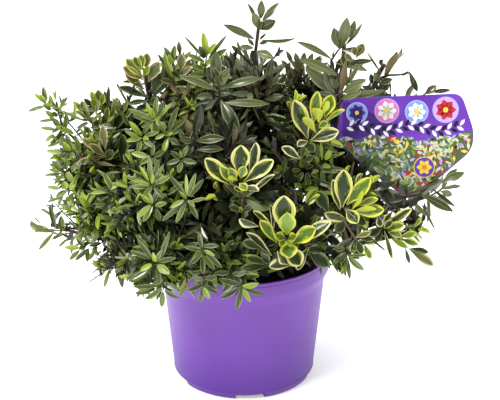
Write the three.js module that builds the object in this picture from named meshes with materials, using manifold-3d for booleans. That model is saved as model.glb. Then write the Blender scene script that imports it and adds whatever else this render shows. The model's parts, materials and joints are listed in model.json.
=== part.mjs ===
// Hebe shrub in a round purple nursery pot, with a plastic plant label on a stick.
// Three leaf kinds grow from one clump: small light green leaves at the left and front, long dark
// leaves at the top, back and right, and cream-edged leaves in rosettes between them.
// Millimetres, +Z up. The origin is the centre of the pot's flat underside, -Y is the side that the
// label faces and +X is to the right of it.

import * as THREE from 'three';
import { mergeVertices } from 'three/addons/utils/BufferGeometryUtils.js';
import Module from 'manifold-3d';

const wasm = await Module();
wasm.setup();

// ---- Driving dimensions ----

const GAP = 0.3; // between two pieces that touch
const POT_HEIGHT = 132;
const RIM_RADIUS = 85;
const COLLAR_HEIGHT = 15; // the upright band under the rim
const STEP_HEIGHT = 11; // the slant from the band in to the wall
const WALL_TOP_RADIUS = 80;
const WALL_FOOT_RADIUS = 70;
const FOOT_RADIUS = 66.5; // where the flat underside ends
const FOOT_BAND = 7; // height of the bevelled band at the foot
const FOOT_BEVEL = 2; // on the lower edge of that band
const LIP = 0.8; // chamfer on the rim's top edge
const WALL = 1.6;
const FLOOR = 2;
const COLLAR_FOOT = POT_HEIGHT - COLLAR_HEIGHT;
const WALL_TOP = COLLAR_FOOT - STEP_HEIGHT;
const ROOT_BALL_CLEAR = 0.6; // between the compost and the wall
const POT_SIDES = 40;

const NOTCHES = 5; // drainage notches in the bottom edge
const NOTCH_HALF_ANGLE = 12.5; // degrees
const NOTCH_HEIGHT = 6;
const NOTCH_INNER_RADIUS = 60;
const FIRST_NOTCH = 5.6; // degrees from the front, towards +X

const SOIL_TOP = 118.7; // a finger's width under the rim
const STEM_FOOT = SOIL_TOP + GAP;

const LABEL_CENTRE = new THREE.Vector3(150, 20, 215);
const LABEL_LEAN = 15; // degrees back from upright
const LABEL_THICKNESS = 0.8;
const LABEL_CORNER = 9; // radius
const STICK_WIDTH = 9;

const LEAF_COLOURS = { green: 0x5f8f38, dark: 0x3f5a3a, cream: 0xb9bf5a };
const BARK = 0x4b342c;

const degrees = THREE.MathUtils.degToRad;

// ---- Helpers for solids ----

/** A manifold solid from a closed geometry, with only its positions kept. */
function solidFrom(geometry) {
  const bare = new THREE.BufferGeometry();
  bare.setAttribute('position', geometry.getAttribute('position').clone());
  if (geometry.index) bare.setIndex(geometry.index.clone());
  const merged = mergeVertices(bare, 1e-4);
  return new wasm.Manifold(new wasm.Mesh({
    numProp: 3,
    vertProperties: new Float32Array(merged.getAttribute('position').array),
    triVerts: new Uint32Array(merged.index.array),
  }));
}

/** A geometry from the largest body of a solid: a cut can leave crumbs beside it. */
function geometryFrom(solid) {
  const bodies = solid.decompose();
  const largest = bodies.reduce((best, body) => (body.volume() > best.volume() ? body : best));
  const mesh = largest.getMesh();
  const geometry = new THREE.BufferGeometry();
  geometry.setAttribute('position', new THREE.BufferAttribute(mesh.vertProperties, mesh.numProp));
  geometry.setIndex(new THREE.BufferAttribute(mesh.triVerts, 1));
  geometry.computeVertexNormals();
  return geometry;
}

/** Numbers from 0 to 1 that are the same on every run. */
function randomFrom(seed) {
  let state = seed;
  return () => {
    state = (state * 1664525 + 1013904223) % 4294967296;
    return state / 4294967296;
  };
}

function named(name, geometry, color, roughness) {
  const mesh = new THREE.Mesh(geometry, new THREE.MeshStandardMaterial({ color, roughness, metalness: 0 }));
  mesh.name = name;
  return mesh;
}

// ---- Pot ----

/** A closed section of [radius, height] points, turned round the pot's axis. */
function turned(section) {
  const points = section.map(([radius, height]) => new THREE.Vector2(radius, height));
  return new THREE.LatheGeometry(points, POT_SIDES).rotateX(Math.PI / 2);
}

/** The pot's wall, floor and collar. */
function potShell() {
  return turned([
    [0, 0], [FOOT_RADIUS, 0], [FOOT_RADIUS + FOOT_BEVEL, FOOT_BEVEL], [WALL_FOOT_RADIUS, FOOT_BAND],
    [WALL_TOP_RADIUS, WALL_TOP], [RIM_RADIUS, COLLAR_FOOT], [RIM_RADIUS, POT_HEIGHT - LIP],
    [RIM_RADIUS - LIP, POT_HEIGHT], [RIM_RADIUS - WALL, POT_HEIGHT],
    [RIM_RADIUS - WALL, COLLAR_FOOT], [WALL_TOP_RADIUS - WALL, WALL_TOP],
    [WALL_FOOT_RADIUS - WALL, FOOT_BAND + 1], [FOOT_RADIUS - WALL, FLOOR], [0, FLOOR],
  ]);
}

/** One wedge that cuts a drainage notch, centred on an angle from the front. */
function notchWedge(angle) {
  const outer = WALL_FOOT_RADIUS + 6;
  const from = degrees(angle - 90 - NOTCH_HALF_ANGLE);
  const to = degrees(angle - 90 + NOTCH_HALF_ANGLE);
  const shape = new THREE.Shape();
  shape.moveTo(NOTCH_INNER_RADIUS * Math.cos(from), NOTCH_INNER_RADIUS * Math.sin(from));
  shape.lineTo(outer * Math.cos(from), outer * Math.sin(from));
  shape.lineTo(outer * Math.cos(to), outer * Math.sin(to));
  shape.lineTo(NOTCH_INNER_RADIUS * Math.cos(to), NOTCH_INNER_RADIUS * Math.sin(to));
  shape.closePath();
  const below = 2;
  const wedge = new THREE.ExtrudeGeometry(shape, { depth: NOTCH_HEIGHT + below, bevelEnabled: false });
  return wedge.translate(0, 0, -below);
}

function pot() {
  let solid = solidFrom(potShell());
  for (let i = 0; i < NOTCHES; i++) {
    solid = solid.subtract(solidFrom(notchWedge(FIRST_NOTCH + (i * 360) / NOTCHES)));
  }
  return named('pot', geometryFrom(solid), 0x8a5fc4, 0.4);
}

/** Compost held by roots: it fills the pot to the soil line, a little clear of the wall. */
function rootBall() {
  const inset = WALL + ROOT_BALL_CLEAR;
  const ball = turned([
    [0, FLOOR + GAP], [FOOT_RADIUS - inset - 3, FLOOR + GAP], [WALL_FOOT_RADIUS - inset - 1, FOOT_BAND + 4],
    [WALL_TOP_RADIUS - inset, WALL_TOP], [RIM_RADIUS - inset - 1, SOIL_TOP], [0, SOIL_TOP],
  ]);
  return named('root_ball', geometryFrom(solidFrom(ball)), 0x2a1f18, 1);
}

// ---- Plant label ----

/** A closed shape through corners, each rounded by an arc-like curve of one radius. */
function roundedShape(corners, radius) {
  const points = corners.map(([x, y]) => new THREE.Vector2(x, y));
  const shape = new THREE.Shape();
  points.forEach((corner, i) => {
    const before = points[(i + points.length - 1) % points.length];
    const after = points[(i + 1) % points.length];
    const enter = corner.clone().add(before.clone().sub(corner).setLength(radius));
    const leave = corner.clone().add(after.clone().sub(corner).setLength(radius));
    if (i === 0) shape.moveTo(enter.x, enter.y);
    else shape.lineTo(enter.x, enter.y);
    shape.quadraticCurveTo(corner.x, corner.y, leave.x, leave.y);
  });
  shape.closePath();
  return shape;
}

/** The printed panel, across and up its own plane from its centre. */
const PANEL_CORNERS = [[-62, 20], [-22, -14], [14, -40], [72, 10], [74.5, 28], [61, 66], [-55, 61]];
/** The stick's middle line: out of the panel's lower left edge, down to the soil. */
const STICK_TOP = new THREE.Vector2(-14, -8);
const STICK_FOOT = new THREE.Vector2(-110, (SOIL_TOP + GAP - LABEL_CENTRE.z) / Math.cos(degrees(LABEL_LEAN)));

/** A plate that follows the label's plane, from a flat shape. */
function labelPlate(shape, thickness) {
  const plate = new THREE.ExtrudeGeometry(shape, { depth: thickness, bevelEnabled: false, curveSegments: 4 });
  plate.translate(0, 0, -thickness / 2);
  plate.rotateX(Math.PI / 2 - degrees(LABEL_LEAN));
  return plate.translate(LABEL_CENTRE.x, LABEL_CENTRE.y, LABEL_CENTRE.z);
}

function stickShape() {
  const half = STICK_WIDTH / 2;
  const along = STICK_FOOT.clone().sub(STICK_TOP).normalize();
  const slant = half / Math.abs(along.y); // half of the stick's width along a level line
  const shape = new THREE.Shape();
  shape.moveTo(STICK_TOP.x - slant, STICK_TOP.y);
  shape.lineTo(STICK_FOOT.x - slant, STICK_FOOT.y);
  shape.lineTo(STICK_FOOT.x + slant, STICK_FOOT.y);
  shape.lineTo(STICK_TOP.x + slant, STICK_TOP.y);
  shape.closePath();
  return shape;
}

function plantLabel() {
  const panel = solidFrom(labelPlate(roundedShape(PANEL_CORNERS, LABEL_CORNER), LABEL_THICKNESS));
  const stick = solidFrom(labelPlate(stickShape(), LABEL_THICKNESS));
  return named('plant_label', geometryFrom(panel.add(stick)), 0x6a3fa8, 0.35);
}

// ---- Limbs ----

/**
 * A tapering limb along a curve: a closed cylinder whose rings are carried to the curve's points.
 * radiusAt gives the radius from the start, 0, to the end, 1.
 */
function limb(curve, radiusAt, sides, steps) {
  const geometry = new THREE.CylinderGeometry(1, 1, 1, sides, steps);
  const frames = curve.computeFrenetFrames(steps);
  const place = geometry.getAttribute('position');
  for (let i = 0; i < place.count; i++) {
    const along = place.getY(i) + 0.5;
    const ring = Math.round(along * steps);
    const radius = radiusAt(along);
    const point = curve.getPointAt(ring / steps)
      .addScaledVector(frames.binormals[ring], place.getX(i) * radius)
      .addScaledVector(frames.normals[ring], place.getZ(i) * radius);
    place.setXYZ(i, point.x, point.y, point.z);
  }
  return geometry;
}

// foot and top: across, back; the top's height; and the radius under the flare and at the top
const STEMS = {
  green: { foot: [-24, -16], top: [-46, -30], height: 176, thick: 4.6, thin: 3.2 },
  dark: { foot: [6, 26], top: [10, 34], height: 214, thick: 5.2, thin: 3.4 },
  cream: { foot: [26, -24], top: [36, -44], height: 172, thick: 4.4, thin: 3.1 },
  back: { foot: [-34, 26], top: [-52, 44], height: 196, thick: 4.2, thin: 3.0 },
};
const FLARE = 2.6; // extra radius at the soil
const FLARE_LENGTH = 5; // height over which the flare dies away
const STEM_SIDES = 8;
const STEM_STEPS = 7;

/** The middle line of a stem: straight up out of the soil, then over to its lean. */
function stemCurve({ foot, top, height }) {
  const rise = height - STEM_FOOT;
  return new THREE.CubicBezierCurve3(
    new THREE.Vector3(foot[0], foot[1], STEM_FOOT),
    new THREE.Vector3(foot[0], foot[1], STEM_FOOT + rise * 0.4),
    new THREE.Vector3((foot[0] + top[0]) / 2, (foot[1] + top[1]) / 2, height - rise * 0.3),
    new THREE.Vector3(top[0], top[1], height),
  );
}

/** A stem's solid, grown by a little when it cuts its neighbours. */
function stemSolid(stem, grown = 0) {
  const rise = stem.height - STEM_FOOT;
  const radiusAt = (t) => THREE.MathUtils.lerp(stem.thick, stem.thin, t)
    + FLARE * Math.exp((-t * rise) / FLARE_LENGTH) + grown;
  return solidFrom(limb(stemCurve(stem), radiusAt, STEM_SIDES, STEM_STEPS));
}

// ---- Foliage masses ----

// centre and half sizes; kind is the leaf kind that covers the mass; coarse ones are small
const MASSES = {
  foliage_left_upper_tip: { kind: 'green', centre: [-176, -8, 268], half: [21, 20, 30], seed: 1 },
  foliage_left_upper: { kind: 'green', centre: [-142, -8, 226], half: [42, 42, 38], seed: 2, fine: true },
  foliage_left_tip: { kind: 'green', centre: [-184, -18, 164], half: [29, 26, 25], seed: 3 },
  foliage_left: { kind: 'green', centre: [-138, -30, 184], half: [38, 44, 32], seed: 4 },
  foliage_left_low: { kind: 'green', centre: [-120, -64, 146], half: [36, 34, 23], seed: 5 },
  foliage_left_middle: { kind: 'green', centre: [-92, -62, 210], half: [46, 46, 40], seed: 6, fine: true },
  foliage_front_left: { kind: 'green', centre: [-72, -96, 162], half: [38, 36, 33], seed: 7 },
  foliage_front: { kind: 'green', centre: [-22, -98, 164], half: [38, 34, 35], seed: 8 },
  foliage_right_patch: { kind: 'green', centre: [98, -84, 166], half: [25, 25, 21], seed: 9 },
  foliage_back_left: { kind: 'green', centre: [-122, 60, 196], half: [48, 56, 46], seed: 10 },
  foliage_top_left: { kind: 'dark', centre: [-56, 10, 284], half: [48, 44, 43], seed: 11, fine: true },
  foliage_top: { kind: 'dark', centre: [6, 14, 288], half: [46, 42, 44], seed: 12, fine: true },
  foliage_top_shoot: { kind: 'dark', centre: [14, 20, 350], half: [20, 18, 35], seed: 13 },
  foliage_middle: { kind: 'dark', centre: [-26, -44, 250], half: [38, 36, 34], seed: 14 },
  foliage_right_top: { kind: 'dark', centre: [72, 50, 270], half: [46, 44, 42], seed: 15 },
  foliage_right_shoot: { kind: 'dark', centre: [97, 48, 322], half: [20, 18, 29], seed: 16 },
  foliage_right_back: { kind: 'dark', centre: [136, 70, 236], half: [46, 46, 48], seed: 17 },
  foliage_right_back_shoot: { kind: 'dark', centre: [138, 64, 298], half: [27, 20, 25], seed: 28 },
  foliage_right: { kind: 'dark', centre: [176, -4, 192], half: [34, 30, 26], seed: 18 },
  foliage_back_top: { kind: 'dark', centre: [-10, 84, 252], half: [60, 48, 50], seed: 19 },
  foliage_back: { kind: 'dark', centre: [-38, 124, 192], half: [58, 46, 44], seed: 20 },
  foliage_back_right: { kind: 'dark', centre: [62, 124, 190], half: [56, 44, 46], seed: 21 },
  foliage_cream_left: { kind: 'cream', centre: [-112, 34, 267], half: [38, 34, 29], seed: 22 },
  foliage_cream_front_top: { kind: 'cream', centre: [-2, -86, 232], half: [37, 30, 27], seed: 23 },
  foliage_cream_front: { kind: 'cream', centre: [44, -92, 192], half: [41, 36, 34], seed: 24 },
  foliage_cream_upper: { kind: 'cream', centre: [58, -36, 268], half: [34, 30, 30], seed: 25 },
  foliage_cream_right: { kind: 'cream', centre: [98, -58, 210], half: [36, 34, 30], seed: 26 },
  foliage_cream_right_low: { kind: 'cream', centre: [146, -44, 166], half: [36, 34, 27], seed: 27 },
};
const BULGES = 9; // knobs on a mass, where sprays stand out
const BULGE_HEIGHT = 0.26; // of the half size
const SQUARENESS = 2.6; // 2 is an egg, more is squarer

for (const mass of Object.values(MASSES)) {
  mass.centre = new THREE.Vector3(...mass.centre);
  mass.half = new THREE.Vector3(...mass.half);
}

/** How far a mass's shape reaches from its centre in a direction: an egg that is a little square. */
function reach(mass, way) {
  const sides = ['x', 'y', 'z'].map((side) => Math.abs(way[side] / mass.half[side]) ** SQUARENESS);
  return (sides[0] + sides[1] + sides[2]) ** (-1 / SQUARENESS);
}

/** Planes between a mass and its neighbours, each at the share of the way that their sizes give. */
function planesRound(mass) {
  const planes = [];
  for (const other of Object.values(MASSES)) {
    if (other === mass) continue;
    const away = other.centre.clone().sub(mass.centre);
    const distance = away.length();
    away.divideScalar(distance);
    const mine = reach(mass, away);
    const theirs = reach(other, away);
    planes.push({ normal: away, height: (distance * mine) / (mine + theirs) - GAP / 2 });
  }
  return planes;
}

/** Whether a mass comes as far across and as low as the label. */
function besideLabel(mass) {
  const leftmost = Math.min(...PANEL_CORNERS.map(([across]) => across));
  const highest = Math.max(...PANEL_CORNERS.map(([, up]) => up)) * Math.cos(degrees(LABEL_LEAN));
  const right = mass.centre.x + mass.half.x;
  const foot = mass.centre.z - mass.half.z;
  return right > LABEL_CENTRE.x + leftmost && foot < LABEL_CENTRE.z + highest;
}

/** The plane of the label, for a mass that has it close by, on the mass's own side. */
function labelPlane(mass) {
  const face = new THREE.Vector3(0, -Math.cos(degrees(LABEL_LEAN)), Math.sin(degrees(LABEL_LEAN)));
  const height = LABEL_CENTRE.clone().sub(mass.centre).dot(face);
  const normal = height > 0 ? face : face.negate();
  return { normal, height: Math.abs(height) - LABEL_THICKNESS / 2 - GAP };
}

/**
 * One closed, uneven mass: a ball whose radius in each direction is the egg's, raised where knobs
 * stand out, and no further than the planes to its neighbours and to the label.
 */
function massGeometry(mass, grown = 0) {
  const random = randomFrom(mass.seed * 7919);
  const knobs = Array.from({ length: BULGES }, () => {
    const up = random() * 2 - 1;
    const turn = random() * 2 * Math.PI;
    const level = Math.sqrt(1 - up * up);
    return new THREE.Vector3(level * Math.cos(turn), level * Math.sin(turn), up);
  });
  const planes = planesRound(mass);
  if (besideLabel(mass)) planes.push(labelPlane(mass));
  const geometry = new THREE.IcosahedronGeometry(1, mass.fine ? 3 : 2);
  const place = geometry.getAttribute('position');
  const way = new THREE.Vector3();
  for (let i = 0; i < place.count; i++) {
    way.fromBufferAttribute(place, i).normalize();
    const knob = Math.max(...knobs.map((k) => Math.max(0, way.dot(k)) ** 10));
    let radius = reach(mass, way) * (1 - BULGE_HEIGHT / 2 + BULGE_HEIGHT * knob);
    for (const { normal, height } of planes) {
      const facing = way.dot(normal);
      if (facing > 0) radius = Math.min(radius, height / facing);
    }
    way.multiplyScalar(radius + grown).add(mass.centre);
    place.setXYZ(i, way.x, way.y, way.z);
  }
  return geometry;
}

// ---- Boughs ----

// stem, how far up it (0 to 1), the mass it feeds, and how deep its middle sags under a straight line
const BOUGHS = {
  bough_left_upper: { stem: 'green', at: 0.86, mass: 'foliage_left_upper', sag: 10 },
  bough_left_tip: { stem: 'green', at: 0.16, mass: 'foliage_left_tip', sag: 12 },
  bough_left: { stem: 'green', at: 0.5, mass: 'foliage_left', sag: 8 },
  bough_left_low: { stem: 'green', at: 0.24, mass: 'foliage_left_low', sag: -6 },
  bough_left_middle: { stem: 'green', at: 0.95, mass: 'foliage_left_middle', sag: 0 },
  bough_front_left: { stem: 'green', at: 0.62, mass: 'foliage_front_left', sag: -4 },
  bough_front: { stem: 'green', at: 0.4, mass: 'foliage_front', sag: -6 },
  bough_middle: { stem: 'green', at: 0.97, mass: 'foliage_middle', sag: 0 },
  bough_top_left: { stem: 'back', at: 0.94, mass: 'foliage_top_left', sag: 6 },
  bough_cream_left: { stem: 'back', at: 0.8, mass: 'foliage_cream_left', sag: 12 },
  bough_back_left: { stem: 'back', at: 0.5, mass: 'foliage_back_left', sag: 4 },
  bough_back: { stem: 'back', at: 0.66, mass: 'foliage_back', sag: 4 },
  bough_top: { stem: 'dark', at: 0.97, mass: 'foliage_top', sag: 0 },
  bough_right_top: { stem: 'dark', at: 0.88, mass: 'foliage_right_top', sag: 6 },
  bough_back_top: { stem: 'dark', at: 0.95, mass: 'foliage_back_top', sag: 4 },
  bough_right_back: { stem: 'dark', at: 0.68, mass: 'foliage_right_back', sag: 10 },
  bough_back_right: { stem: 'dark', at: 0.45, mass: 'foliage_back_right', sag: 4 },
  bough_cream_front_top: { stem: 'cream', at: 0.95, mass: 'foliage_cream_front_top', sag: 4 },
  bough_cream_front: { stem: 'cream', at: 0.75, mass: 'foliage_cream_front', sag: 0 },
  bough_cream_upper: { stem: 'cream', at: 0.97, mass: 'foliage_cream_upper', sag: 0 },
  bough_cream_right: { stem: 'cream', at: 0.85, mass: 'foliage_cream_right', sag: 6 },
  bough_right_patch: { stem: 'cream', at: 0.45, mass: 'foliage_right_patch', sag: -4 },
  bough_cream_right_low: { stem: 'cream', at: 0.3, mass: 'foliage_cream_right_low', sag: 4 },
  bough_right: { stem: 'cream', at: 0.6, mass: 'foliage_right', sag: 8 },
};
const BOUGH_THICK = 2.6; // radius where a bough leaves its stem
const BOUGH_THIN = 1.4; // radius at its tip
const BOUGH_SIDES = 5;
const BOUGH_STEPS = 5;

function boughCurve({ stem, at, mass, sag }) {
  const start = stemCurve(STEMS[stem]).getPointAt(at);
  const end = MASSES[mass].centre;
  const middle = start.clone().lerp(end, 0.5).add(new THREE.Vector3(0, 0, -sag));
  return new THREE.QuadraticBezierCurve3(start, middle, end);
}

function boughSolid(bough, grown = 0) {
  const radiusAt = (t) => THREE.MathUtils.lerp(BOUGH_THICK, BOUGH_THIN, t) + grown;
  return solidFrom(limb(boughCurve(bough), radiusAt, BOUGH_SIDES, BOUGH_STEPS));
}

// ---- Putting the plant together ----

/** The space of the pot that foliage must stay out of. */
function potSpace() {
  const height = POT_HEIGHT + 1;
  return solidFrom(new THREE.CylinderGeometry(RIM_RADIUS + 1, RIM_RADIUS + 1, height, POT_SIDES)
    .rotateX(Math.PI / 2).translate(0, 0, height / 2));
}

const plant = new THREE.Group();
plant.add(pot(), rootBall(), plantLabel());

for (const [kind, stem] of Object.entries(STEMS)) {
  plant.add(named(`stem_${kind}`, geometryFrom(stemSolid(stem)), BARK, 0.8));
}

const space = potSpace();
const massSolids = {};
for (const [name, mass] of Object.entries(MASSES)) {
  massSolids[name] = solidFrom(massGeometry(mass)).subtract(space);
}

// what a bough must stay clear of: the label's stick, the stems and the boughs laid before it
let laid = solidFrom(labelPlate(stickShape(), LABEL_THICKNESS + 2 * GAP));
for (const stem of Object.values(STEMS)) laid = laid.add(stemSolid(stem, GAP));
for (const [name, bough] of Object.entries(BOUGHS)) {
  const ownMass = solidFrom(massGeometry(MASSES[bough.mass], GAP)).subtract(space);
  plant.add(named(name, geometryFrom(boughSolid(bough).subtract(laid).subtract(ownMass)), BARK, 0.8));
  laid = laid.add(boughSolid(bough, GAP));
  for (const other of Object.keys(massSolids)) {
    if (other !== bough.mass) massSolids[other] = massSolids[other].subtract(boughSolid(bough, GAP));
  }
}

for (const [name, mass] of Object.entries(MASSES)) {
  plant.add(named(name, geometryFrom(massSolids[name]), LEAF_COLOURS[mass.kind], 0.6));
}

export default plant;
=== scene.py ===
# %% [markdown]
# # A potted hebe shrub
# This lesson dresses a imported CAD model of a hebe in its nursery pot. The CAD model has a closed solid
# for each mass of foliage. Here the masses turn into twigs and leaves, the limbs get bark, and pot,
# compost and label get their finish.

# %% Load the frame
import json
import math
import bpy
import numpy as np
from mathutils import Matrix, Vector


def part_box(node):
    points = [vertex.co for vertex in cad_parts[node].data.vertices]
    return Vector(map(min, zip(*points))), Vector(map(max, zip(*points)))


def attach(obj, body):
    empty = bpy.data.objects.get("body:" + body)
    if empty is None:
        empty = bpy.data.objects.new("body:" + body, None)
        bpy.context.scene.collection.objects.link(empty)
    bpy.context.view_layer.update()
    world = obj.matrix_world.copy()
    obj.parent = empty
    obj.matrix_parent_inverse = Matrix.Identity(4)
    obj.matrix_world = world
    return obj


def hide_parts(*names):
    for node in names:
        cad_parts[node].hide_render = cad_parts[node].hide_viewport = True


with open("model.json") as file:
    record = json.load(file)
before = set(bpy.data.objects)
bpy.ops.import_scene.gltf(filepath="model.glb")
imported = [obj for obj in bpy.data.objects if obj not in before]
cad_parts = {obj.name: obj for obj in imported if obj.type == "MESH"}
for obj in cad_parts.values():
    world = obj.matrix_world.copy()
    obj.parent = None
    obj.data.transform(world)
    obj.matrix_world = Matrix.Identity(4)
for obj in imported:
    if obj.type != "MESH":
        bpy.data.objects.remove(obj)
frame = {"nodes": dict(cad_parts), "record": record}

TURN = 2 * math.pi
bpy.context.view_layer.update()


def number(word):
    """A word as a number, if it is one."""
    return float(word) if word.lstrip("-")[0].isdigit() else word


def table(text):
    """Rows parted by commas: the first word of a row is its name, the others are its values."""
    rows = ([number(word) for word in row.split()] for row in text.split(","))
    return {row[0]: row[1:] for row in rows}


# %% [markdown]
# ## Camera
# The plant is seen from about a metre and a half away, straight in front and a little from above. The
# helper turns a place in the frame and a depth into a point, so that leaves are set where they are seen.

# %% Camera
CAMERA_PLACE = np.array([0.0063, -1.3583, 0.7365])
LOOKING_DOWN = math.radians(22.2)
SENSOR = 36.0  # millimetres, as Blender's lens is
LENS = 108.9
FRAME_WIDTH, FRAME_HEIGHT = 500, 400
FOCAL = LENS / SENSOR * FRAME_WIDTH  # the lens in pixels
COSINE, SINE = math.cos(LOOKING_DOWN), math.sin(LOOKING_DOWN)

camera = bpy.data.objects.new("camera", bpy.data.cameras.new("camera"))
camera.data.sensor_width = SENSOR
camera.data.lens = LENS
camera.location = CAMERA_PLACE
camera.rotation_euler = (math.pi / 2 - LOOKING_DOWN, 0, 0)
bpy.context.scene.collection.objects.link(camera)
bpy.context.scene.camera = camera
print("camera", CAMERA_PLACE, "lens", LENS)


def seen(across, down, depth):
    """The point at a depth y that is seen at a place in the frame: the camera's place plus the sight
    line, stretched until its y is the depth."""
    right, up = (across - FRAME_WIDTH / 2) / FOCAL, (FRAME_HEIGHT / 2 - down) / FOCAL
    sight = np.stack([right, COSINE + up * SINE, up * COSINE - SINE], -1)
    return CAMERA_PLACE + sight * ((depth - CAMERA_PLACE[1]) / sight[..., 1])[..., None]


# %% [markdown]
# ## Helpers for surfaces
# Every new piece is a surface worked out as whole arrays: a grid of rows and columns, or loops carried
# along paths. An edge is marked sharp where two faces meet at more than an angle, so that thin leaves
# shade right on both sides.

# %% Grids and meshes
CREASE = math.radians(24)


def unit(vectors):
    """Each vector divided by its length."""
    return vectors / np.maximum(np.linalg.norm(vectors, axis=-1, keepdims=True), 1e-12)


def length_of(line):
    """The length of a line of points."""
    return np.linalg.norm(np.diff(line, axis=0), axis=1).sum()


def on_line(line, shares):
    """Points of a line at shares of its length."""
    along = np.concatenate([[0], np.cumsum(np.linalg.norm(np.diff(line, axis=0), axis=1))])
    return np.stack([np.interp(np.asarray(shares) * along[-1], along, column) for column in line.T], -1)


def grid_faces(rows, columns):
    """Quads between the rows and columns of a grid whose points are numbered row by row. The last
    column joins the first."""
    row = np.arange(rows - 1)[:, None] * columns
    column = np.arange(columns)[None, :]
    after = (column + 1) % columns
    corners = (row + column, row + after, row + columns + after, row + columns + column)
    return np.stack(corners, -1).reshape(-1, 4)


def fan_faces(centre, ring, outwards=True):
    """Triangles from one point to each pair of neighbours on a closed ring of points."""
    after = np.roll(ring, -1)
    pair = (ring, after) if outwards else (after, ring)
    return np.stack((np.full_like(ring, centre), *pair), -1)


def closed_skins(loops, ends):
    """Points and faces of n closed skins: loops, (n, loops, sides, 3), joined by quads, and ends,
    (n, 2, 3), each joined to its last loop by a fan. Loops wind outwards from first to last."""
    count, rows, sides = loops.shape[:3]
    points = np.concatenate([loops.reshape(count, -1, 3), ends], 1)
    each = points.shape[1]
    first = np.arange(count)[:, None, None] * each
    quads = grid_faces(rows, sides)[None] + first
    start = fan_faces(each - 2, np.arange(sides), outwards=False)[None] + first
    end = fan_faces(each - 1, (rows - 1) * sides + np.arange(sides))[None] + first
    return points.reshape(-1, 3), [quads.reshape(-1, 4), start.reshape(-1, 3), end.reshape(-1, 3)]


def joined(parts):
    """Points and faces of several meshes as one; parts is a list of (points, face arrays)."""
    points = np.concatenate([part[0] for part in parts])
    firsts = np.cumsum([0] + [len(part[0]) for part in parts[:-1]])
    faces = [face + first for (_, group), first in zip(parts, firsts) for face in group]
    return points, faces


def mesh_piece(name, points, faces, materials, finish=None, sharp=CREASE):
    """An object from points, (n, 3), and a list of face arrays of 3 or 4 columns. finish gives each
    face its material's place in the list."""
    mesh = bpy.data.meshes.new(name)
    corners = np.concatenate([part.ravel() for part in faces])
    sizes = np.concatenate([np.full(len(part), part.shape[1]) for part in faces])
    mesh.vertices.add(len(points))
    mesh.vertices.foreach_set("co", np.ascontiguousarray(points, np.float32).ravel())
    mesh.loops.add(len(corners))
    mesh.loops.foreach_set("vertex_index", corners.astype(np.int32))
    mesh.polygons.add(len(sizes))
    mesh.polygons.foreach_set("loop_start", (np.cumsum(sizes) - sizes).astype(np.int32))
    for material in materials:
        mesh.materials.append(material)
    if finish is not None:
        mesh.polygons.foreach_set("material_index", np.asarray(finish, np.int32))
    mesh.polygons.foreach_set("use_smooth", np.ones(len(sizes), bool))
    mesh.update(calc_edges=True)
    mesh.validate()
    mesh.set_sharp_from_angle(angle=sharp)
    piece = bpy.data.objects.new(name, mesh)
    bpy.context.scene.collection.objects.link(piece)
    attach(piece, "root")
    print(f"{name}: {int((sizes - 2).sum())} triangles")
    return piece


# %% [markdown]
# ## Helpers for finishes
# Colours are named as read off a screen, from 0 to 255. Each finish is one Principled shader with its
# constant values on its own sockets, and nodes feed only what changes over the surface.


# %% Finishes
def colour(red, green, blue):
    """A linear colour from a screen colour."""
    screen = np.array([red, green, blue]) / 255
    linear = np.where(screen <= 0.04045, screen / 12.92, ((screen + 0.055) / 1.055) ** 2.4)
    return (*map(float, linear), 1.0)


def shader_of(material):
    return material.node_tree.nodes["Principled BSDF"]


def finish_of(name, base, roughness, **values):
    """A material with one Principled shader; values are its other sockets by name, with _ for a space."""
    material = bpy.data.materials.new(name)
    material.use_nodes = True
    values |= {"Base Color": colour(*base), "Roughness": roughness}
    for socket, value in values.items():
        shader_of(material).inputs[socket.replace("_", " ")].default_value = value
    return material


def node(material, kind, **values):
    """A new node in a material's tree, with its sockets' values by name."""
    made = material.node_tree.nodes.new(kind)
    for socket, value in values.items():
        made.inputs[socket.replace("_", " ")].default_value = value
    return made


def join(source, target):
    source.id_data.links.new(source, target)


def noise(material, scale, detail=3.0, stretch=(1, 1, 1)):
    """Soft noise on the piece's own coordinates; stretch squeezes it along an axis."""
    place = node(material, "ShaderNodeTexCoord")
    mapping = node(material, "ShaderNodeMapping", Scale=stretch)
    texture = node(material, "ShaderNodeTexNoise", Scale=scale, Detail=detail)
    join(place.outputs["Object"], mapping.inputs["Vector"])
    join(mapping.outputs["Vector"], texture.inputs["Vector"])
    return texture.outputs["Fac"]


def mottle(material, factor, *stops):
    """Feeds the base colour by a factor; each stop is its place and its screen colour."""
    made = node(material, "ShaderNodeValToRGB")
    while len(made.color_ramp.elements) < len(stops):
        made.color_ramp.elements.new(0.5)
    for element, (at, *tint) in zip(made.color_ramp.elements, stops):
        element.position = at
        element.color = colour(*tint)
    join(factor, made.inputs["Fac"])
    join(made.outputs["Color"], shader_of(material).inputs["Base Color"])


def bump(material, height, distance, strength=1.0):
    """Feeds the shader's normal with a height pattern, in metres."""
    made = node(material, "ShaderNodeBump", Distance=distance, Strength=strength)
    join(height, made.inputs["Height"])
    join(made.outputs["Normal"], shader_of(material).inputs["Normal"])


# %% [markdown]
# ## Floor and light
# A catalogue studio: a dim even surround lets the inside of the crown fall dark, lamps from the left,
# the right and above put a sheen on the leaves, and two low ones draw the pale edges on the pot. The
# floor glows faintly, as a light table does, so that the shadow stays soft.

# %% Studio
FLOOR_SIZE = 8.0
SURROUND = 0.32
FLOOR_GLOW = 0.42

floor_finish = finish_of("pale_floor", (244, 244, 244), 0.9, Emission_Color=colour(255, 255, 255),
                         Emission_Strength=FLOOR_GLOW)
bpy.ops.mesh.primitive_plane_add(size=FLOOR_SIZE)
floor = bpy.context.object
floor.name = "studio_floor"
floor.data.materials.append(floor_finish)

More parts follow.
